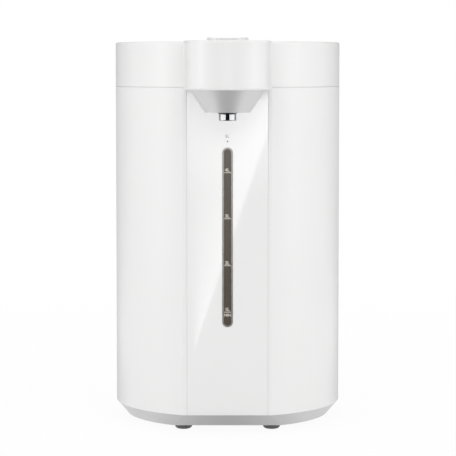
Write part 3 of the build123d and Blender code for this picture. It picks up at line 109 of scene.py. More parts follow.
class Finish:
    """One finish: a material's Principled shader and the nodes that vary it over the piece."""

    def __init__(self, name, constants):
        self.material = bpy.data.materials.new(name)
        self.material.use_nodes = True
        self.tree = self.material.node_tree
        self.shader = self.tree.nodes["Principled BSDF"]
        for socket, value in constants.items():
            self.shader.inputs[socket].default_value = value
        self.place = self.node("ShaderNodeTexCoord").other("Object")

    def plug(self, socket, value):
        """Links a feed to a socket, or sets the socket to a number or colour."""
        if isinstance(value, Feed):
            self.tree.links.new(value.socket, socket)
        else:
            socket.default_value = value

    def node(self, kind, settings=None, sockets=None):
        """Any node: its settings and ramp stops first, then its sockets' values or feeds."""
        made = self.tree.nodes.new(kind)
        for name, value in (settings or {}).items():
            if name == "stops":
                ramp = made.color_ramp
                for stop in value[2:]:
                    ramp.elements.new(stop[0])
                for element, (position, colour) in zip(ramp.elements, sorted(value)):
                    element.position = position
                    element.color = (*colour, 1)
            else:
                setattr(made, name, value)
        for name, value in (sockets or {}).items():
            self.plug(made.inputs[name], value)
        return Feed(self, made.outputs[0])

    def maths(self, operation, left, right):
        """One Math node."""
        return self.node("ShaderNodeMath", {"operation": operation}, {0: left, 1: right})

    def vector(self, operation, *values):
        """One Vector Math node. Its first output is a vector, and LENGTH has its own, Value."""
        return self.node("ShaderNodeVectorMath", {"operation": operation}, dict(enumerate(values)))

    def along(self, axis):
        """The place along X, Y or Z, in metres."""
        return self.node("ShaderNodeSeparateXYZ", None, {0: self.place}).other(axis)

    def radius(self, y):
        """Distance in metres from the upright axis through (0, y)."""
        level = self.vector("MULTIPLY", self.vector("SUBTRACT", self.place, (0, y, 0)), (1, 1, 0))
        return self.vector("LENGTH", level).other("Value")

    def noise(self, scale, detail=2.0, stretch=(1, 1, 1)):
        """Soft noise from 0 to 1, with about scale lumps to the metre along an unstretched axis."""
        place = self.vector("MULTIPLY", self.place, stretch)
        return self.node("ShaderNodeTexNoise", None, {"Vector": place, "Scale": scale, "Detail": detail})

    def span(self, value, low, high, out_low=0.0, out_high=1.0):
        """Carries a value's range from low to high over to another range, and stops at its ends."""
        ends = {"Value": value, "From Min": low, "From Max": high, "To Min": out_low, "To Max": out_high}
        return self.node("ShaderNodeMapRange", None, ends)

    def between(self, factor, first, second):
        """A colour between two colours."""
        first, second = [c if isinstance(c, Feed) else (*c, 1) for c in (first, second)]
        mix = self.node("ShaderNodeMix", {"data_type": "RGBA"}, {0: factor, 6: first, 7: second})
        return Feed(self, mix.socket.node.outputs[2])

    def feed(self, socket, value):
        """Gives one of the shader's sockets a value that varies over the piece."""
        self.plug(self.shader.inputs[socket], value)

    def relief(self, height, depth, strength=1.0):
        """Fine relief of the given depth in metres, from a height of 0 to 1."""
        sockets = {"Height": height, "Distance": depth, "Strength": strength}
        self.feed("Normal", self.node("ShaderNodeBump", None, sockets))


def dress(finish, *names):
    """Gives a finish to carried-over parts."""
    for name in names:
        for slot in node[name].material_slots:
            slot.material = finish.material


def tint(colour, share):
    """A colour made lighter or darker by a share."""
    return tuple(min(1.0, c * (1 + share)) for c in colour)


def silvered(name, colour):
    """Plastic with metal flake in it: the flake is lighter than the colour, which drifts a little
    in a soft cloud."""
    finish = Finish(name, {"Metallic": 0.7, "IOR": 1.5})
    flake = finish.noise(2600, 1.0)
    drift = finish.between(finish.noise(14, 3.0), tint(colour, -0.02), tint(colour, 0.02))
    finish.feed("Base Color", finish.between(finish.span(flake, 0.55, 0.75), drift, tint(colour, 0.12)))
    finish.feed("Roughness", 0.33 + 0.06 * finish.noise(90, 2.0))
    finish.relief(flake, 0.000012, 0.5)
    return finish


dress(silvered("base_silver_plastic", BASE_GREY), "base_tub", "service_hatch")
dress(silvered("hood_silver_plastic", HOOD_GREY), "spout_hood")


# ---- feet
# Four dished rubber feet are pushed through holes in the tub. Their skin is dull, a little
# dusty at the rim, and worn smooth where they stand.
FOOT_GREY = (0.12, 0.12, 0.123)
WORN_HEIGHT = 0.0012

rubber = Finish("foot_rubber", {"IOR": 1.45, "Sheen Weight": 0.15, "Sheen Roughness": 0.6})
worn = rubber.span(rubber.along("Z"), WORN_HEIGHT, 0.0)
dust = rubber.noise(700, 3.0)
dusty = rubber.span(dust, 0.5, 0.8, 0.0, 0.35)
rubber.feed("Base Color", rubber.between(dusty, FOOT_GREY, tint(FOOT_GREY, 0.6)))
rubber.feed("Roughness", 0.30 + 0.12 * dust - 0.1 * worn)
rubber.relief(rubber.noise(3200, 2.0), 0.00003, 0.6)
dress(rubber, "feet")


# ---- outer shell
# The tall round shell is satin white plastic with the very fine grain of a spark-eroded
# mould. The collar with its nose and the lid's cover come, in the same white, from a better
# polished mould.
WHITE = (0.86, 0.86, 0.857)


def moulded(name, colour, roughness, lumps=2400, depth=0.000006, cloudy=0.008):
    """Moulded plastic: colour within a few parts in a hundred of itself after a soft cloud,
    roughness after a finer one, and a relief of fine lumps."""
    finish = Finish(name, {"IOR": 1.5})
    soft = finish.noise(11, 3.0)
    finish.feed("Base Color", finish.between(soft, tint(colour, -cloudy), tint(colour, cloudy)))
    finish.feed("Roughness", roughness - 0.03 + 0.06 * finish.noise(120, 2.0))
    finish.relief(finish.noise(lumps, 2.0), depth, 0.5)
    return finish


dress(moulded("satin_white_plastic", WHITE, 0.36), "body_shell")
dress(moulded("polished_white_plastic", WHITE, 0.30, depth=0.000003), "collar", "lid_cover")


# ---- front panel
# A flat strip of clear-coated white acrylic is bonded into the front of the shell. Its face
# is flat and glossy enough to mirror the studio, with only a trace of orange peel.
PANEL_WHITE = (0.89, 0.89, 0.887)

panel_gloss = Finish("glossy_white_panel", {"IOR": 1.5, "Coat Roughness": 0.02, "Coat IOR": 1.5})
soft = panel_gloss.noise(11, 3.0)
drift = panel_gloss.between(soft, tint(PANEL_WHITE, -0.006), tint(PANEL_WHITE, 0.006))
panel_gloss.feed("Base Color", drift)
panel_gloss.feed("Roughness", 0.05 + 0.03 * panel_gloss.noise(200, 2.0))
panel_gloss.feed("Coat Weight", 0.92 + 0.08 * panel_gloss.noise(40, 2.0))
panel_gloss.relief(panel_gloss.noise(260, 1.0), 0.0000012, 0.3)
dress(panel_gloss, "front_panel", "control_overlay")


# ---- level gauge
# A drawn metal rim is pressed into the panel round a smoked window strip. Behind the window
# stands the glass tube that fills with the vessel.
RIM_DARK = (0.37, 0.355, 0.335)
RIM_LIGHT = (0.49, 0.47, 0.445)
SMOKE = (0.108, 0.084, 0.062)
GLASS_DARK = (0.93, 0.95, 0.94)
GLASS_LIGHT = (0.97, 0.98, 0.975)

rim_metal = Finish("gauge_rim_metal", {"Metallic": 1.0, "IOR": 1.5})
streak = rim_metal.noise(900, 3.0, (6, 6, 0.15))
rim_metal.feed("Base Color", rim_metal.between(streak, RIM_DARK, RIM_LIGHT))
rim_metal.feed("Roughness", 0.22 + 0.12 * streak)
rim_metal.relief(streak, 0.00001, 0.4)
dress(rim_metal, "gauge_bezel")

window = Finish("smoked_window", {"IOR": 1.49, "Coat Roughness": 0.03, "Transmission Weight": 0.25})
haze = window.noise(35, 3.0)
window.feed("Base Color", window.between(haze, tint(SMOKE, -0.05), tint(SMOKE, 0.05)))
window.feed("Roughness", 0.12 + 0.06 * haze)
dress(window, "gauge_lens")

glass = Finish("gauge_tube_glass", {"IOR": 1.47, "Transmission Weight": 1.0})
glass.feed("Base Color", glass.between(glass.noise(50, 2.0), GLASS_DARK, GLASS_LIGHT))
glass.feed("Roughness", 0.02 + 0.04 * glass.noise(120, 2.0))
dress(glass, "level_tube")


# ---- litre marks
# The scale is pad printed on the window in cream ink: a line for each litre with its figure
# above it, and the lowest level below the first. The full mark is printed grey on the panel.
CREAM = (0.72, 0.68, 0.60)
INK_GREY = (0.20, 0.20, 0.20)
INK_T = 0.00003
INK_SPREAD = 0.035
LITRES = {1: 0.1093, 2: 0.1510, 3: 0.1930, 4: 0.2341}
LINE_HALF = 0.0032
LINE_H = 0.00055
FIGURE_H = 0.0030
FIGURE_SIDE = -0.0003
FIGURE_LIFT = 0.0014
LOWEST_H = 0.0026
LOWEST_DROP = 0.0036
FONT_CAP = 0.729
FULL_FIGURE_H = 0.0027
FULL_FIGURE_Z = 0.2656
FULL_MARK_Z = 0.2622
FULL_MARK_R = 0.0011

lens_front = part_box("gauge_lens")[0].y
panel_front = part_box("front_panel")[0].y


def ink(name, colour):
    """Printed ink: nearly matt, a little thin in places."""
    finish = Finish(name, {"IOR": 1.5})
    thin = finish.noise(4000, 2.0)
    worn_through = finish.span(thin, 0.4, 0.8, 0, 0.5)
    finish.feed("Base Color", finish.between(worn_through, colour, tint(colour, -0.18)))
    finish.feed("Roughness", 0.5 + 0.1 * thin)
    return finish


def surface(name, points, faces, finish, body):
    """Makes a mesh from an array of points and lists of corners, and lets it ride on a body."""
    mesh = bpy.data.meshes.new(name)
    mesh.from_pydata(np.asarray(points, float).tolist(), [], faces)
    mesh.materials.append(finish.material)
    piece = bpy.data.objects.new(name, mesh)
    bpy.context.collection.objects.link(piece)
    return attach(piece, body)


def printed(name, words, cap, x, y, z, finish, body, spread=INK_SPREAD):
    """Lettering on an upright face: a text curve made a mesh, its plane turned to face forward
    by (x, y, z) -> (x, -z, y), and its middle put at x with its foot at z."""
    curve = bpy.data.curves.new(name, "FONT")
    curve.body = words
    curve.size = cap / FONT_CAP
    curve.align_x = "CENTER"
    curve.extrude = INK_T / 2
    curve.offset = cap * spread
    curve.resolution_u = 4
    draft = bpy.data.objects.new(name + "_draft", curve)
    bpy.context.collection.objects.link(draft)
    mesh = bpy.data.meshes.new_from_object(draft)
    bpy.data.objects.remove(draft)
    flat = np.empty(3 * len(mesh.vertices), np.float32)
    mesh.vertices.foreach_get("co", flat)
    flat = flat.reshape(-1, 3)
    upright = np.stack([flat[:, 0] + x, y - flat[:, 2], flat[:, 1] + z], axis=1)
    mesh.vertices.foreach_set("co", upright.astype(np.float32).ravel())
    mesh.materials.clear()
    mesh.materials.append(finish.material)
    piece = bpy.data.objects.new(name, mesh)
    bpy.context.collection.objects.link(piece)
    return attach(piece, body)


def plates(rows, y_back, thick):
    """Corners and faces of upright plates: each row is left, right, foot and head, and each
    plate is the box between y_back and y_back - thick."""
    rows = np.asarray(rows, float)
    left, right, foot, head = rows.T
    x = np.stack([left, right, right, left] * 2, axis=1)
    z = np.stack([foot, foot, head, head] * 2, axis=1)
    y = np.repeat([[y_back - thick] * 4 + [y_back] * 4], len(rows), axis=0)
    points = np.stack([x, y, z], axis=2).reshape(-1, 3)
    sides = np.array([[0, 1, 2, 3], [5, 4, 7, 6], [4, 0, 3, 7],
                      [1, 5, 6, 2], [3, 2, 6, 7], [4, 5, 1, 0]])
    faces = (sides[None] + 8 * np.arange(len(rows))[:, None, None]).reshape(-1, 4).tolist()
    return points, faces


cream_ink = ink("cream_ink", CREAM)
grey_ink = ink("grey_ink", INK_GREY)

lines = [(-LINE_HALF, LINE_HALF, z, z + LINE_H) for z in LITRES.values()]
surface("litre_lines", *plates(lines, lens_front, INK_T), cream_ink, "housing")
for litres, z in LITRES.items():
    printed(f"litre_figure_{litres}", f"{litres}L", FIGURE_H, FIGURE_SIDE, lens_front,
            z + FIGURE_LIFT, cream_ink, "housing")
printed("lowest_level", "MIN", LOWEST_H, 0.0, lens_front, LITRES[1] - LOWEST_DROP, cream_ink,
        "housing")
printed("full_figure", "5L", FULL_FIGURE_H, FIGURE_SIDE, panel_front, FULL_FIGURE_Z, grey_ink,
        "housing", spread=0.0)
turn = np.linspace(0, 2 * np.pi, 3, endpoint=False) + np.pi / 2
corners = np.stack([FULL_MARK_R * np.cos(turn), FULL_MARK_R * np.sin(turn)], axis=1)
front = np.column_stack([corners[:, 0], np.full(3, panel_front - INK_T), corners[:, 1] + FULL_MARK_Z])
back = front + [0, INK_T, 0]
sides = [[i, i + 3, (i + 1) % 3 + 3, (i + 1) % 3] for i in range(3)]
surface("full_mark", np.vstack([front, back]), [[0, 1, 2], [5, 4, 3]] + sides, grey_ink, "housing")


# ---- nozzle
# The spout tip is turned brass with bright chrome on it. Plate this thin follows the tool
# marks below, which show as faint rings. Its root under the hood is painted dark: painted
# shade in place of the shadow and dark reflection there.
NOSE_Y = -0.0954
NOZZLE_BORE = 0.0036
NOZZLE_NECK = 0.0069
NOZZLE_FLANGE = 0.0092
NOZZLE_BODY = 0.00775
NOZZLE_LOW = 0.2814
NOZZLE_TOP = 0.2887
FLARE_R = 0.0010
FLARE_DROP = 0.0018
PAINTED_SHADE_FOOT = 0.0018
PAINTED_SHADE_HEAD = 0.0011
SOCKET_R = 0.00503
SOCKET_LOW = 0.2901
SOCKET_HIGH = 0.2967
FOOT_ROUND = 0.0005
WALL_FOOT = 0.0007
WALL_HEAD = 0.0002
FLANGE_T = 0.0004
TOOL_MARKS = 9000
CHROME_DARK = (0.33, 0.333, 0.34)
CHROME_LIGHT = (0.38, 0.382, 0.388)
# The colour of the painted shade at the chrome's root under the hood.
CHROME_PAINTED_SHADE = (0.05, 0.05, 0.052)

chrome = Finish("bright_chrome", {"Metallic": 1.0})
height = chrome.along("Z")
rings = chrome.node("ShaderNodeMath", {"operation": "SINE"}, {0: height * TOOL_MARKS})
plate = chrome.between(chrome.noise(300, 2.0), CHROME_DARK, CHROME_LIGHT)
# Painted shade: the chrome darkens towards its top, just under the hood, standing in for shadow and dark
# reflection.
painted_shade_root = chrome.span(height, NOZZLE_TOP - PAINTED_SHADE_FOOT, NOZZLE_TOP - PAINTED_SHADE_HEAD)
chrome.feed("Base Color", chrome.between(painted_shade_root, plate, CHROME_PAINTED_SHADE))
chrome.feed("Roughness", 0.05 + 0.03 * chrome.noise(500, 2.0))
chrome.relief(rings, 0.0000003, 0.3)


def arc(middle_r, middle_z, radius, start, end):
    """Six (r, z) points of an arc, (r + R cos a, z + R sin a), its angles in degrees."""
    turn = np.radians(np.linspace(start, end, 6))
    return [(middle_r + radius * math.cos(a), middle_z + radius * math.sin(a)) for a in turn]


def turned(name, profile, centre, steps, finish, body):
    """A turned ring: each (r, z) of a closed profile goes round the centre's upright axis, at
    (x + r cos t, y + r sin t, z). Corners of the profile sharper than 30 degrees stay sharp."""
    r, z = np.asarray(profile, float).T
    t = np.linspace(0, 2 * np.pi, steps, endpoint=False)[:, None]
    points = np.stack([centre[0] + r * np.cos(t), centre[1] + r * np.sin(t), z + 0 * t], axis=2)
    i, j = [grid.ravel() for grid in np.meshgrid(np.arange(steps), np.arange(len(r)), indexing="ij")]
    i_next, j_next = (i + 1) % steps, (j + 1) % len(r)
    here, there = i * len(r), i_next * len(r)
    faces = np.stack([here + j, there + j, there + j_next, here + j_next], axis=1)
    piece = surface(name, points.reshape(-1, 3), faces.tolist(), finish, body)
    piece.data.shade_smooth()
    piece.data.set_sharp_from_angle(angle=math.radians(30))
    return piece


# The wall's two own points keep its shading level between the round foot and the flare.
flare_low = NOZZLE_TOP - FLARE_DROP
foot = arc(NOZZLE_BODY - FOOT_ROUND, NOZZLE_LOW + FOOT_ROUND, FOOT_ROUND, -90, 0)
wall = [(NOZZLE_BODY, NOZZLE_LOW + WALL_FOOT), (NOZZLE_BODY, flare_low - WALL_HEAD)]
flare = arc(NOZZLE_BODY + FLARE_R, flare_low, FLARE_R, 180, 125)
neck = [(NOZZLE_FLANGE, NOZZLE_TOP - FLANGE_T), (NOZZLE_FLANGE, NOZZLE_TOP),
        (NOZZLE_NECK, NOZZLE_TOP), (NOZZLE_NECK, SOCKET_HIGH)]
inside = [(SOCKET_R, SOCKET_HIGH), (SOCKET_R, SOCKET_LOW),
          (NOZZLE_BORE, SOCKET_LOW), (NOZZLE_BORE, NOZZLE_LOW)]
tip = turned("nozzle_tip", foot + wall + flare + neck + inside, (0, NOSE_Y), 96, chrome, "housing")
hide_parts("nozzle")


# ---- handle, knob and button
# The handle is moulded in a light grey, a shade darker than the hood. The knob is a spun
# aluminium ring under a pale satin lacquer, and the button inside it is a white cap.
HANDLE_GREY = (0.60, 0.60, 0.605)
KNOB_DARK = (0.83, 0.83, 0.825)
KNOB_LIGHT = (0.89, 0.89, 0.885)
BUTTON_WHITE = (0.82, 0.82, 0.82)
SPIN_MARKS = 9000

dress(moulded("handle_grey_plastic", HANDLE_GREY, 0.42, depth=0.00001), "carry_handle")

spun = Finish("spun_aluminium", {"Metallic": 0.12})
marks = {"W": spun.radius(NOSE_Y) * SPIN_MARKS, "Scale": 1.0, "Detail": 2.0}
groove = spun.node("ShaderNodeTexNoise", {"noise_dimensions": "1D"}, marks)
spun.feed("Base Color", spun.between(groove, KNOB_DARK, KNOB_LIGHT))
spun.feed("Roughness", 0.36 + 0.14 * groove)
spun.relief(groove, 0.00001, 0.4)
dress(spun, "knob_ring")

dress(moulded("button_white", BUTTON_WHITE, 0.30), "dispense_button")


# ---- lid fittings
# The steam cap and the latch are moulded in a darker grey than the hood. The pan under the
# lid and the vessel are drawn stainless steel, brushed round their axis.
FITTING_GREY = (0.52, 0.52, 0.525)
STEEL_DARK = (0.56, 0.56, 0.555)
STEEL_LIGHT = (0.68, 0.68, 0.675)
VESSEL_Y = 0.0314

dress(moulded("grey_fittings", FITTING_GREY, 0.38, depth=0.00001), "steam_cap", "lid_latch")

steel = Finish("brushed_steel", {"Metallic": 1.0})
rise = {"X": steel.radius(VESSEL_Y), "Y": steel.along("Z")}
ring_place = steel.node("ShaderNodeCombineXYZ", None, rise)
hair = steel.node("ShaderNodeTexNoise", None, {"Vector": ring_place, "Scale": 3500, "Detail": 3.0})
stain = steel.noise(18, 3.0)
steel.feed("Base Color", steel.between(hair, STEEL_DARK, STEEL_LIGHT))
steel.feed("Roughness", 0.20 + 0.10 * hair + 0.08 * stain)
steel.relief(hair, 0.000008, 0.4)
dress(steel, "vessel", "inner_lid", "spout_pipe", "tip_ball", "steam_ball")


# ---- screws, pins and spring
# Small steel hardware, bright zinc plated: pan-head screws, the lid and handle pins, the
# button's spring and the thermistor's stem.
zinc = Finish("zinc_plate", {"Metallic": 1.0})
bloom = zinc.noise(420, 3.0)
zinc.feed("Base Color", zinc.between(bloom, (0.52, 0.53, 0.54), (0.66, 0.665, 0.66)))
zinc.feed("Roughness", 0.26 + 0.16 * bloom)
zinc.relief(zinc.noise(2600, 2.0), 0.000006, 0.4)
dress(zinc, "hinge_pin", "handle_pins", "thermistor", "lid_screws", "hatch_screws",
      "shell_screws", "collar_screws", "board_screws", "control_screws")

SPRING_TURNS = 4
TURN_STEPS = 28
WIRE_STEPS = 10
WIRE_R = 0.00035


def coil(name, radius, wire, turns, centre, low, high, finish, body):
    """A coil spring: the wire's middle climbs evenly at (R cos t, R sin t, pitch t / 2 pi) from
    low to high, and the wire's skin stands wire (cos u, sin u) from it, outwards and upwards.
    Both ends are shut by a fan of the last ring."""
    t = np.linspace(0, 2 * np.pi * turns, TURN_STEPS * turns + 1)[:, None]
    u = np.linspace(0, 2 * np.pi, WIRE_STEPS, endpoint=False)[None, :]
    out = radius + wire * np.cos(u)
    rise = low + wire + (high - low - 2 * wire) * t / t[-1] + wire * np.sin(u)
    points = np.stack([centre[0] + out * np.cos(t), centre[1] + out * np.sin(t), rise], axis=2)
    rings, corners = points.shape[:2]
    grids = np.meshgrid(np.arange(rings - 1), np.arange(corners), indexing="ij")
    i, j = [grid.ravel() for grid in grids]
    here, there, j_next = i * corners, (i + 1) * corners, (j + 1) % corners
    faces = np.stack([here + j, there + j, there + j_next, here + j_next], axis=1)
    ends = [list(range(corners)), list(range(rings * corners - 1, (rings - 1) * corners - 1, -1))]
    piece = surface(name, points.reshape(-1, 3), faces.tolist() + ends, finish, body)
    piece.data.shade_smooth()
    return piece


low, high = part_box("button_spring")
wound = coil("button_coil", (high.x - low.x) / 2 - WIRE_R, WIRE_R, SPRING_TURNS, (0, NOSE_Y),
             low.z, high.z, zinc, "housing")
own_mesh(wound)
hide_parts("button_spring")


# ---- seals and hoses
# Peroxide-cured silicone, milky and soft: the vessel's seal, the lid gasket, the hoses of
# the pump and the coupler on the level tube.
silicone = Finish("milky_silicone", {
    "IOR": 1.41, "Subsurface Weight": 0.2, "Subsurface Radius": (0.002, 0.002, 0.002),
    "Transmission Weight": 0.15})
milk = silicone.noise(160, 3.0)
silicone.feed("Base Color", silicone.between(milk, (0.74, 0.74, 0.71), (0.82, 0.82, 0.79)))
silicone.feed("Roughness", 0.42 + 0.14 * milk)
silicone.relief(silicone.noise(1500, 2.0), 0.00001, 0.4)
dress(silicone, "vessel_seal", "lid_gasket", "inlet_hose", "outlet_hose", "tube_coupler")


# ---- pump and inner mouldings
# Natural glass-filled polypropylene, off-white with a flow pattern: the pump, its bracket,
# the lid's floor, the steam duct and the valve body in the spout.
natural = moulded("natural_polypropylene", (0.70, 0.70, 0.67), 0.48, lumps=900,
                  depth=0.00001, cloudy=0.03)
dress(natural, "pump_bracket", "pump_housing", "pump_cover", "lid_base", "steam_duct",
      "tip_valve_body")

black = moulded("black_moulding", (0.035, 0.035, 0.037), 0.42, depth=0.00001, cloudy=0.1)
dress(black, "inlet_socket", "encoder", "impeller", "thermostats")


# ---- motor
# A drawn and zinc-plated can, with the fine scratches of its press tools. The rotor turns
# on a ground shaft.
can = Finish("motor_can", {"Metallic": 0.9})
draw = can.noise(1400, 3.0, (1, 1, 0.08))
can.feed("Base Color", can.between(draw, (0.38, 0.385, 0.39), (0.52, 0.52, 0.52)))
can.feed("Roughness", 0.30 + 0.16 * draw)
can.relief(draw, 0.00001, 0.4)
dress(can, "motor_case", "motor_rotor")


# ---- heaters
# The keep-warm band and the tube of the boiling coil are steel that has blued and browned
# with heat. The coil is cast into an aluminium plate.
heat_steel = Finish("heat_tinted_steel", {"Metallic": 0.8})
burn = heat_steel.noise(45, 4.0)
tinted = {"stops": [(0.25, (0.20, 0.19, 0.18)), (0.5, (0.30, 0.24, 0.17)), (0.75, (0.22, 0.24, 0.30))]}
heat_steel.feed("Base Color", heat_steel.node("ShaderNodeValToRGB", tinted, {0: burn}))
heat_steel.feed("Roughness", 0.35 + 0.2 * burn)
dress(heat_steel, "heater_coil", "warm_band")

cast = Finish("cast_aluminium", {"Metallic": 0.9})
skin = cast.noise(800, 4.0)
cast.feed("Base Color", cast.between(skin, (0.52, 0.52, 0.53), (0.68, 0.68, 0.69)))
cast.feed("Roughness", 0.45 + 0.2 * skin)
cast.relief(skin, 0.00008, 0.6)
dress(cast, "heater_plate")


# ---- wrap and foam
# Needled felt wrapped round the vessel, and open-cell foam in the lid, keep the heat in.
felt = Finish("needled_felt", {"Sheen Weight": 0.4, "Sheen Roughness": 0.5})
fibre = felt.noise(1100, 5.0, (1, 1, 0.35))
felt.feed("Base Color", felt.between(fibre, (0.52, 0.50, 0.46), (0.76, 0.74, 0.70)))
felt.feed("Roughness", 0.85 + 0.1 * fibre)
felt.relief(fibre, 0.0005, 0.8)
dress(felt, "insulation_sleeve")

foam = Finish("open_cell_foam", {"Sheen Weight": 0.2})
bubbles = {"Vector": foam.place, "Scale": 900}
cells = foam.node("ShaderNodeTexVoronoi", {"feature": "F1"}, bubbles).other("Distance")
skin = foam.span(cells, 0.2, 0.7)
foam.feed("Base Color", foam.between(skin, (0.62, 0.62, 0.59), (0.84, 0.84, 0.81)))
foam.feed("Roughness", 0.9 + 0.05 * foam.noise(60, 2.0))
foam.relief(cells, 0.0006, 0.8)
dress(foam, "lid_foam")


# ---- boards
# Green laminate with copper tracks under the solder mask. The power board's parts are a
# transformer, a relay, a capacitor, terminals and a heat sink, each in its own colour.
laminate = Finish("board_laminate", {"Coat Weight": 0.4, "Coat Roughness": 0.12})
tracks = laminate.node("ShaderNodeTexBrick", {"offset": 0.37, "offset_frequency": 2}, {
    "Vector": laminate.place, "Scale": 160.0, "Color1": (0, 0, 0, 1), "Color2": (0, 0, 0, 1),
    "Mortar": (1, 1, 1, 1), "Mortar Size": 0.06, "Mortar Smooth": 0.1})
laminate.feed("Base Color", laminate.between(tracks, (0.012, 0.085, 0.035), (0.035, 0.19, 0.075)))
laminate.feed("Roughness", 0.34 + 0.1 * laminate.noise(300, 2.0))
laminate.relief(tracks, 0.00003, 0.6)
dress(laminate, "power_board", "control_board")

parts_paint = Finish("board_part_colours", {"IOR": 1.5})
share = parts_paint.span(parts_paint.along("X"), -0.045, 0.05)
part_stops = {"stops": [(0.0, (0.42, 0.36, 0.12)), (0.36, (0.02, 0.02, 0.022)),
                        (0.60, (0.05, 0.09, 0.22)), (0.80, (0.42, 0.42, 0.43))]}
ramp = parts_paint.node("ShaderNodeValToRGB", part_stops, {0: share})
ramp.socket.node.color_ramp.interpolation = "CONSTANT"
parts_paint.feed("Base Color", ramp)
parts_paint.feed("Roughness", 0.38 + 0.14 * parts_paint.noise(400, 2.0))
parts_paint.relief(parts_paint.noise(1600, 2.0), 0.00002, 0.4)
dress(parts_paint, "board_parts")


# ---- contacts of the inlet
# Two turned brass pins, bright, with a trace of tarnish at the root.
brass = Finish("contact_brass", {"Metallic": 1.0})
tarnish = brass.noise(500, 3.0)
brass.feed("Base Color", brass.between(tarnish, (0.72, 0.55, 0.26), (0.60, 0.43, 0.19)))
brass.feed("Roughness", 0.20 + 0.15 * tarnish)
dress(brass, "inlet_pins")


# ---- studio
# A pale floor that fades into a white surround, tall soft boxes at both sides, a wide one
# over the camera and one overhead. Cards that only mirrors see shape the reflections.
WHITE_LIGHT = (1, 1, 1, 1)
FLOOR_WHITE = (0.90, 0.90, 0.90, 1)
FLOOR_REACH = 30.0
SHADOW_NEAR = 0.93
SHADOW_REACH = (0.25, 1.1)
WORLD_LEVEL = 0.73


def shown_rays(tree):
    """1 for rays from the camera, from mirrors and through glass, and 0 for the rest."""
    path = tree.nodes.new("ShaderNodeLightPath")
    total = path.outputs["Is Camera Ray"]
    for name in ("Is Glossy Ray", "Is Transmission Ray"):
        joined = tree.nodes.new("ShaderNodeMath")
        joined.operation = "MAXIMUM"
        tree.links.new(total, joined.inputs[0])
        tree.links.new(path.outputs[name], joined.inputs[1])
        total = joined.outputs[0]
    return total


world = bpy.data.worlds.new("studio_world")
bpy.context.scene.world = world
world.use_nodes = True
sky = world.node_tree
plain = sky.nodes["Background"]
plain.inputs["Color"].default_value = WHITE_LIGHT
level = sky.nodes.new("ShaderNodeMapRange")
sky.links.new(shown_rays(sky), level.inputs["Value"])
level.inputs["To Min"].default_value = WORLD_LEVEL
level.inputs["To Max"].default_value = 1.0
sky.links.new(level.outputs[0], plain.inputs["Strength"])

floor_paint = Finish("studio_floor", {"Roughness": 1.0, "Specular IOR Level": 0.0})
tree = floor_paint.tree
floor_paint.shader.inputs["Base Color"].default_value = FLOOR_WHITE
glow = floor_paint.node("ShaderNodeEmission", None, {"Strength": 1.0})
away = floor_paint.vector("LENGTH", floor_paint.place).other("Value")
fade = floor_paint.span(away, *SHADOW_REACH, SHADOW_NEAR, 1.0)
share = fade * Feed(floor_paint, shown_rays(tree))
blend = floor_paint.node("ShaderNodeMixShader", None, {0: share})
tree.links.new(floor_paint.shader.outputs[0], blend.socket.node.inputs[1])
tree.links.new(glow.socket, blend.socket.node.inputs[2])
tree.links.new(blend.socket, tree.nodes["Material Output"].inputs["Surface"])


def level_sheet(left, right, near, far, z):
    """Corners of a rectangle that lies at a height."""
    return [(left, near, z), (right, near, z), (right, far, z), (left, far, z)]


def upright_sheet(left, right, y, low, high):
    """Corners of a rectangle that stands across the view."""
    return [(left, y, low), (right, y, low), (right, y, high), (left, y, high)]


def flat_piece(name, corners, material):
    """A flat face of the studio."""
    mesh = bpy.data.meshes.new(name)
    mesh.from_pydata(corners, [], [list(range(len(corners)))])
    mesh.materials.append(material)
    made = bpy.data.objects.new(name, mesh)
    bpy.context.collection.objects.link(made)
    return made


floor_corners = level_sheet(-FLOOR_REACH, FLOOR_REACH, -FLOOR_REACH, FLOOR_REACH, 0)
flat_piece("studio_floor", floor_corners, floor_paint.material)


def soft_box(name, place, aim, wide, high, power):
    """A rectangular lamp at a place, turned to face a point."""
    lamp = bpy.data.lights.new(name, "AREA")
    lamp.shape = "RECTANGLE"
    lamp.size = wide
    lamp.size_y = high
    lamp.energy = power
    box = bpy.data.objects.new(name, lamp)
    bpy.context.collection.objects.link(box)
    box.location = place
    box.rotation_euler = (Vector(aim) - Vector(place)).to_track_quat("-Z", "Y").to_euler()


SIDES = (("left", -1), ("right", 1))
SIDE_AWAY = 1.6
SIDE_TURN = math.radians(70)
SIDE_HIGH = 0.6
SIDE_POWER = 3.5
FRONT_POWER = 7.8
OVERHEAD_POWER = 5.5
AIM = (0, 0, 0.2)
AIM_FROM_ABOVE = (0, 0, 0.3)
for name, side in SIDES:
    place = (SIDE_AWAY * math.sin(SIDE_TURN) * side, -SIDE_AWAY * math.cos(SIDE_TURN), SIDE_HIGH)
    soft_box(f"{name}_box", place, AIM, 0.35, 1.3, SIDE_POWER)
soft_box("front_box", (0, -2.2, 1.6), AIM, 2.2, 1.2, FRONT_POWER)
soft_box("overhead_box", (0, -0.1, 1.9), AIM_FROM_ABOVE, 1.6, 1.2, OVERHEAD_POWER)


def mirror_card(name, corners, level, pool=None):
    """A flat card that only mirrors see, as bright as its level. A pool holds a centre, the
    reach each way, and the colour there, which rises to white at the reach."""
    paint = Finish(name, {"Base Color": (0, 0, 0, 1), "Specular IOR Level": 0.0,
                          "Emission Strength": level, "Emission Color": WHITE_LIGHT})
    if pool:
        centre, spread, dark = pool
        shares = paint.vector("DIVIDE", paint.vector("SUBTRACT", paint.place, centre), spread)
        far = paint.vector("LENGTH", shares).other("Value")
        paint.feed("Emission Color", paint.between(paint.span(far, 0, 1), dark, (1, 1, 1)))
    made = flat_piece(name, corners, paint.material)
    made.visible_camera = False
    made.visible_diffuse = False
    made.visible_shadow = False
    made.visible_transmission = False
    made.visible_volume_scatter = False
    return paint


CARD_NEAR = -0.15
CARD_RISE = 0.30
CARD_HALF = 0.19


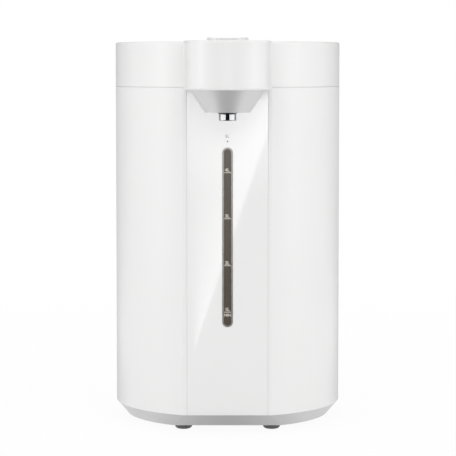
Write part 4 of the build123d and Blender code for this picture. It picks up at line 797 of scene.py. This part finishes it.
def seen_in_panel(x, z):
    """The point of the leaning card that the camera sees mirrored at (x, z) of the flat panel:
    the sight line's y is turned about, and it goes on to the plane z = RISE (NEAR - y)."""
    dx, dy, dz = x - CAMERA_SIDE, panel_front + CAMERA_BACK, z - CAMERA_HIGH
    t = (CARD_RISE * (CARD_NEAR - panel_front) - z) / (dz - CARD_RISE * dy)
    return Vector((x + t * dx, panel_front - t * dy, z + t * dz))


def behind_card(x, y):
    """A point just under the leaning card's plane."""
    return Vector((x, y, CARD_RISE * (CARD_NEAR - y) - SHADE_DROP))


# The bright card is a wedge in the panel: it is sharp along its right edge, which slants down
# to the left, and fades to the left edge of the panel. A darker card fills in behind it.
SLANT_HIGH = (0.0460, 0.300)
SLANT_TIP = (-0.0302, 0.0745)
SLANT_LEFT = (-0.0370, 0.300)
SLANT_DARK = 0.18
SLANT_FADE = 0.7
SLANT_LEVEL = 2.2
SHADE_LEVEL = 0.4
SHADE_DROP = 0.002
SHADE_NEAR = CARD_NEAR - 0.01
SHINE = 2.0
SHINE_LOW = 0.215
SHINE_HIGH = 0.306
CARD_FULL = 5.0
right_end = seen_in_panel(*SLANT_HIGH)
left_end = seen_in_panel(*SLANT_LEFT)
tip = seen_in_panel(*SLANT_TIP)
shine_far = seen_in_panel(0, SHINE_HIGH).y


def along_card(paint, start, end):
    """x of a straight line across the card, as a feed that grows with y."""
    slope = (end.x - start.x) / (end.y - start.y)
    return paint.along("Y") * slope + (start.x - slope * start.y)


def glow_card(paint, level):
    """Gives a card its level, to which light for the shaded stretch under the nose is added:
    SHINE times the way from SHINE_LOW to SHINE_HIGH, as heights in the panel."""
    rise = paint.span(paint.along("Y"), seen_in_panel(0, SHINE_LOW).y, shine_far)
    total = (level + SHINE * rise) * (1 / CARD_FULL)
    paint.feed("Emission Color", paint.between(total, (0, 0, 0), (1, 1, 1)))


slant = mirror_card("slant_card", [tip, right_end, left_end], CARD_FULL)
x = slant.along("X")
share = slant.span(x, along_card(slant, tip, left_end), along_card(slant, tip, right_end))
share = slant.maths("POWER", share, SLANT_FADE)
glow_card(slant, SLANT_LEVEL * (SLANT_DARK + (1 - SLANT_DARK) * share))
shade = mirror_card("shade_card", [
    behind_card(-CARD_HALF, SHADE_NEAR), behind_card(CARD_HALF, SHADE_NEAR),
    behind_card(CARD_HALF, shine_far), behind_card(-CARD_HALF, shine_far)], CARD_FULL)
glow_card(shade, SHADE_LEVEL)

# Two soft dark pools on the floor, seen only where something mirrors it: one below the spout
# and one under the front of the pot.
POOL_LIFT = 0.001
POOLS = (("drip", (0, -0.22, 0), (0.13, 0.13, 1), 0.42),
         ("under", (0, -0.07, 0), (0.085, 0.07, 1), 0.50))
for name, centre, spread, level in POOLS:
    low, high = Vector(centre) - Vector(spread), Vector(centre) + Vector(spread)
    pool_corners = level_sheet(low.x, high.x, low.y, high.y, POOL_LIFT)
    mirror_card(f"{name}_shade", pool_corners, 1.0, pool=(centre, spread, (level,) * 3))

# Flags are darker than the surround: one in front of the pot and a small one before the nozzle,
# which gives the chrome its dark middle.
FRONT_FLAG_LEVEL = 0.1
NOZZLE_FLAG_LEVEL = 0.02
NOZZLE_FLAG_AWAY = 0.006
NOZZLE_FLAG_HALF = 0.0040
NOZZLE_FLAG_DROP = 0.0010
mirror_card("front_flag", upright_sheet(-1.3, 1.3, -1.25, 0.0, 0.9), FRONT_FLAG_LEVEL)
nozzle_flag = upright_sheet(-NOZZLE_FLAG_HALF, NOZZLE_FLAG_HALF, NOSE_Y - NOZZLE_BODY - NOZZLE_FLAG_AWAY,
                            NOZZLE_LOW - NOZZLE_FLAG_DROP, NOZZLE_TOP)
mirror_card("nozzle_flag", nozzle_flag, NOZZLE_FLAG_LEVEL)

# A low bright band stands at both sides, for the streaks of light in the chrome.
GLINT_LEVEL = 2.5
GLINT_LOW = 0.215
GLINT_HIGH = 0.28
GLINT_BAND = [(0.53, -1.2), (1.35, -1.1), (1.5, -0.4), (1.5, 0.16)]
for name, side in SIDES:
    for turn, ((x_near, y_near), (x_far, y_far)) in enumerate(zip(GLINT_BAND, GLINT_BAND[1:])):
        mirror_card(f"{name}_glint_{turn}", [
            (side * x_near, y_near, GLINT_LOW), (side * x_far, y_far, GLINT_LOW),
            (side * x_far, y_far, GLINT_HIGH), (side * x_near, y_near, GLINT_HIGH)], GLINT_LEVEL)

# The rest of the flags: a dark spot below the spout, and the floor and surround behind the pot.
SPOT_LEVEL = 0.03
BACK_LEVEL = 0.2
FLAG_LIFT = 0.003
NEAR_FLAG = [(-0.22, 0.05, FLAG_LIFT), (0.22, 0.05, FLAG_LIFT),
             (0.52, 0.75, FLAG_LIFT), (-0.52, 0.75, FLAG_LIFT)]
mirror_card("drip_spot", level_sheet(-0.045, 0.045, -0.165, -0.075, 0.002), SPOT_LEVEL)
mirror_card("back_flag", upright_sheet(-2.4, 2.4, 1.2, 0.0, 1.6), BACK_LEVEL)
mirror_card("near_floor_flag", NEAR_FLAG, BACK_LEVEL)
mirror_card("back_floor_flag", level_sheet(-1.2, 1.2, 0.75, 1.2, FLAG_LIFT), BACK_LEVEL)
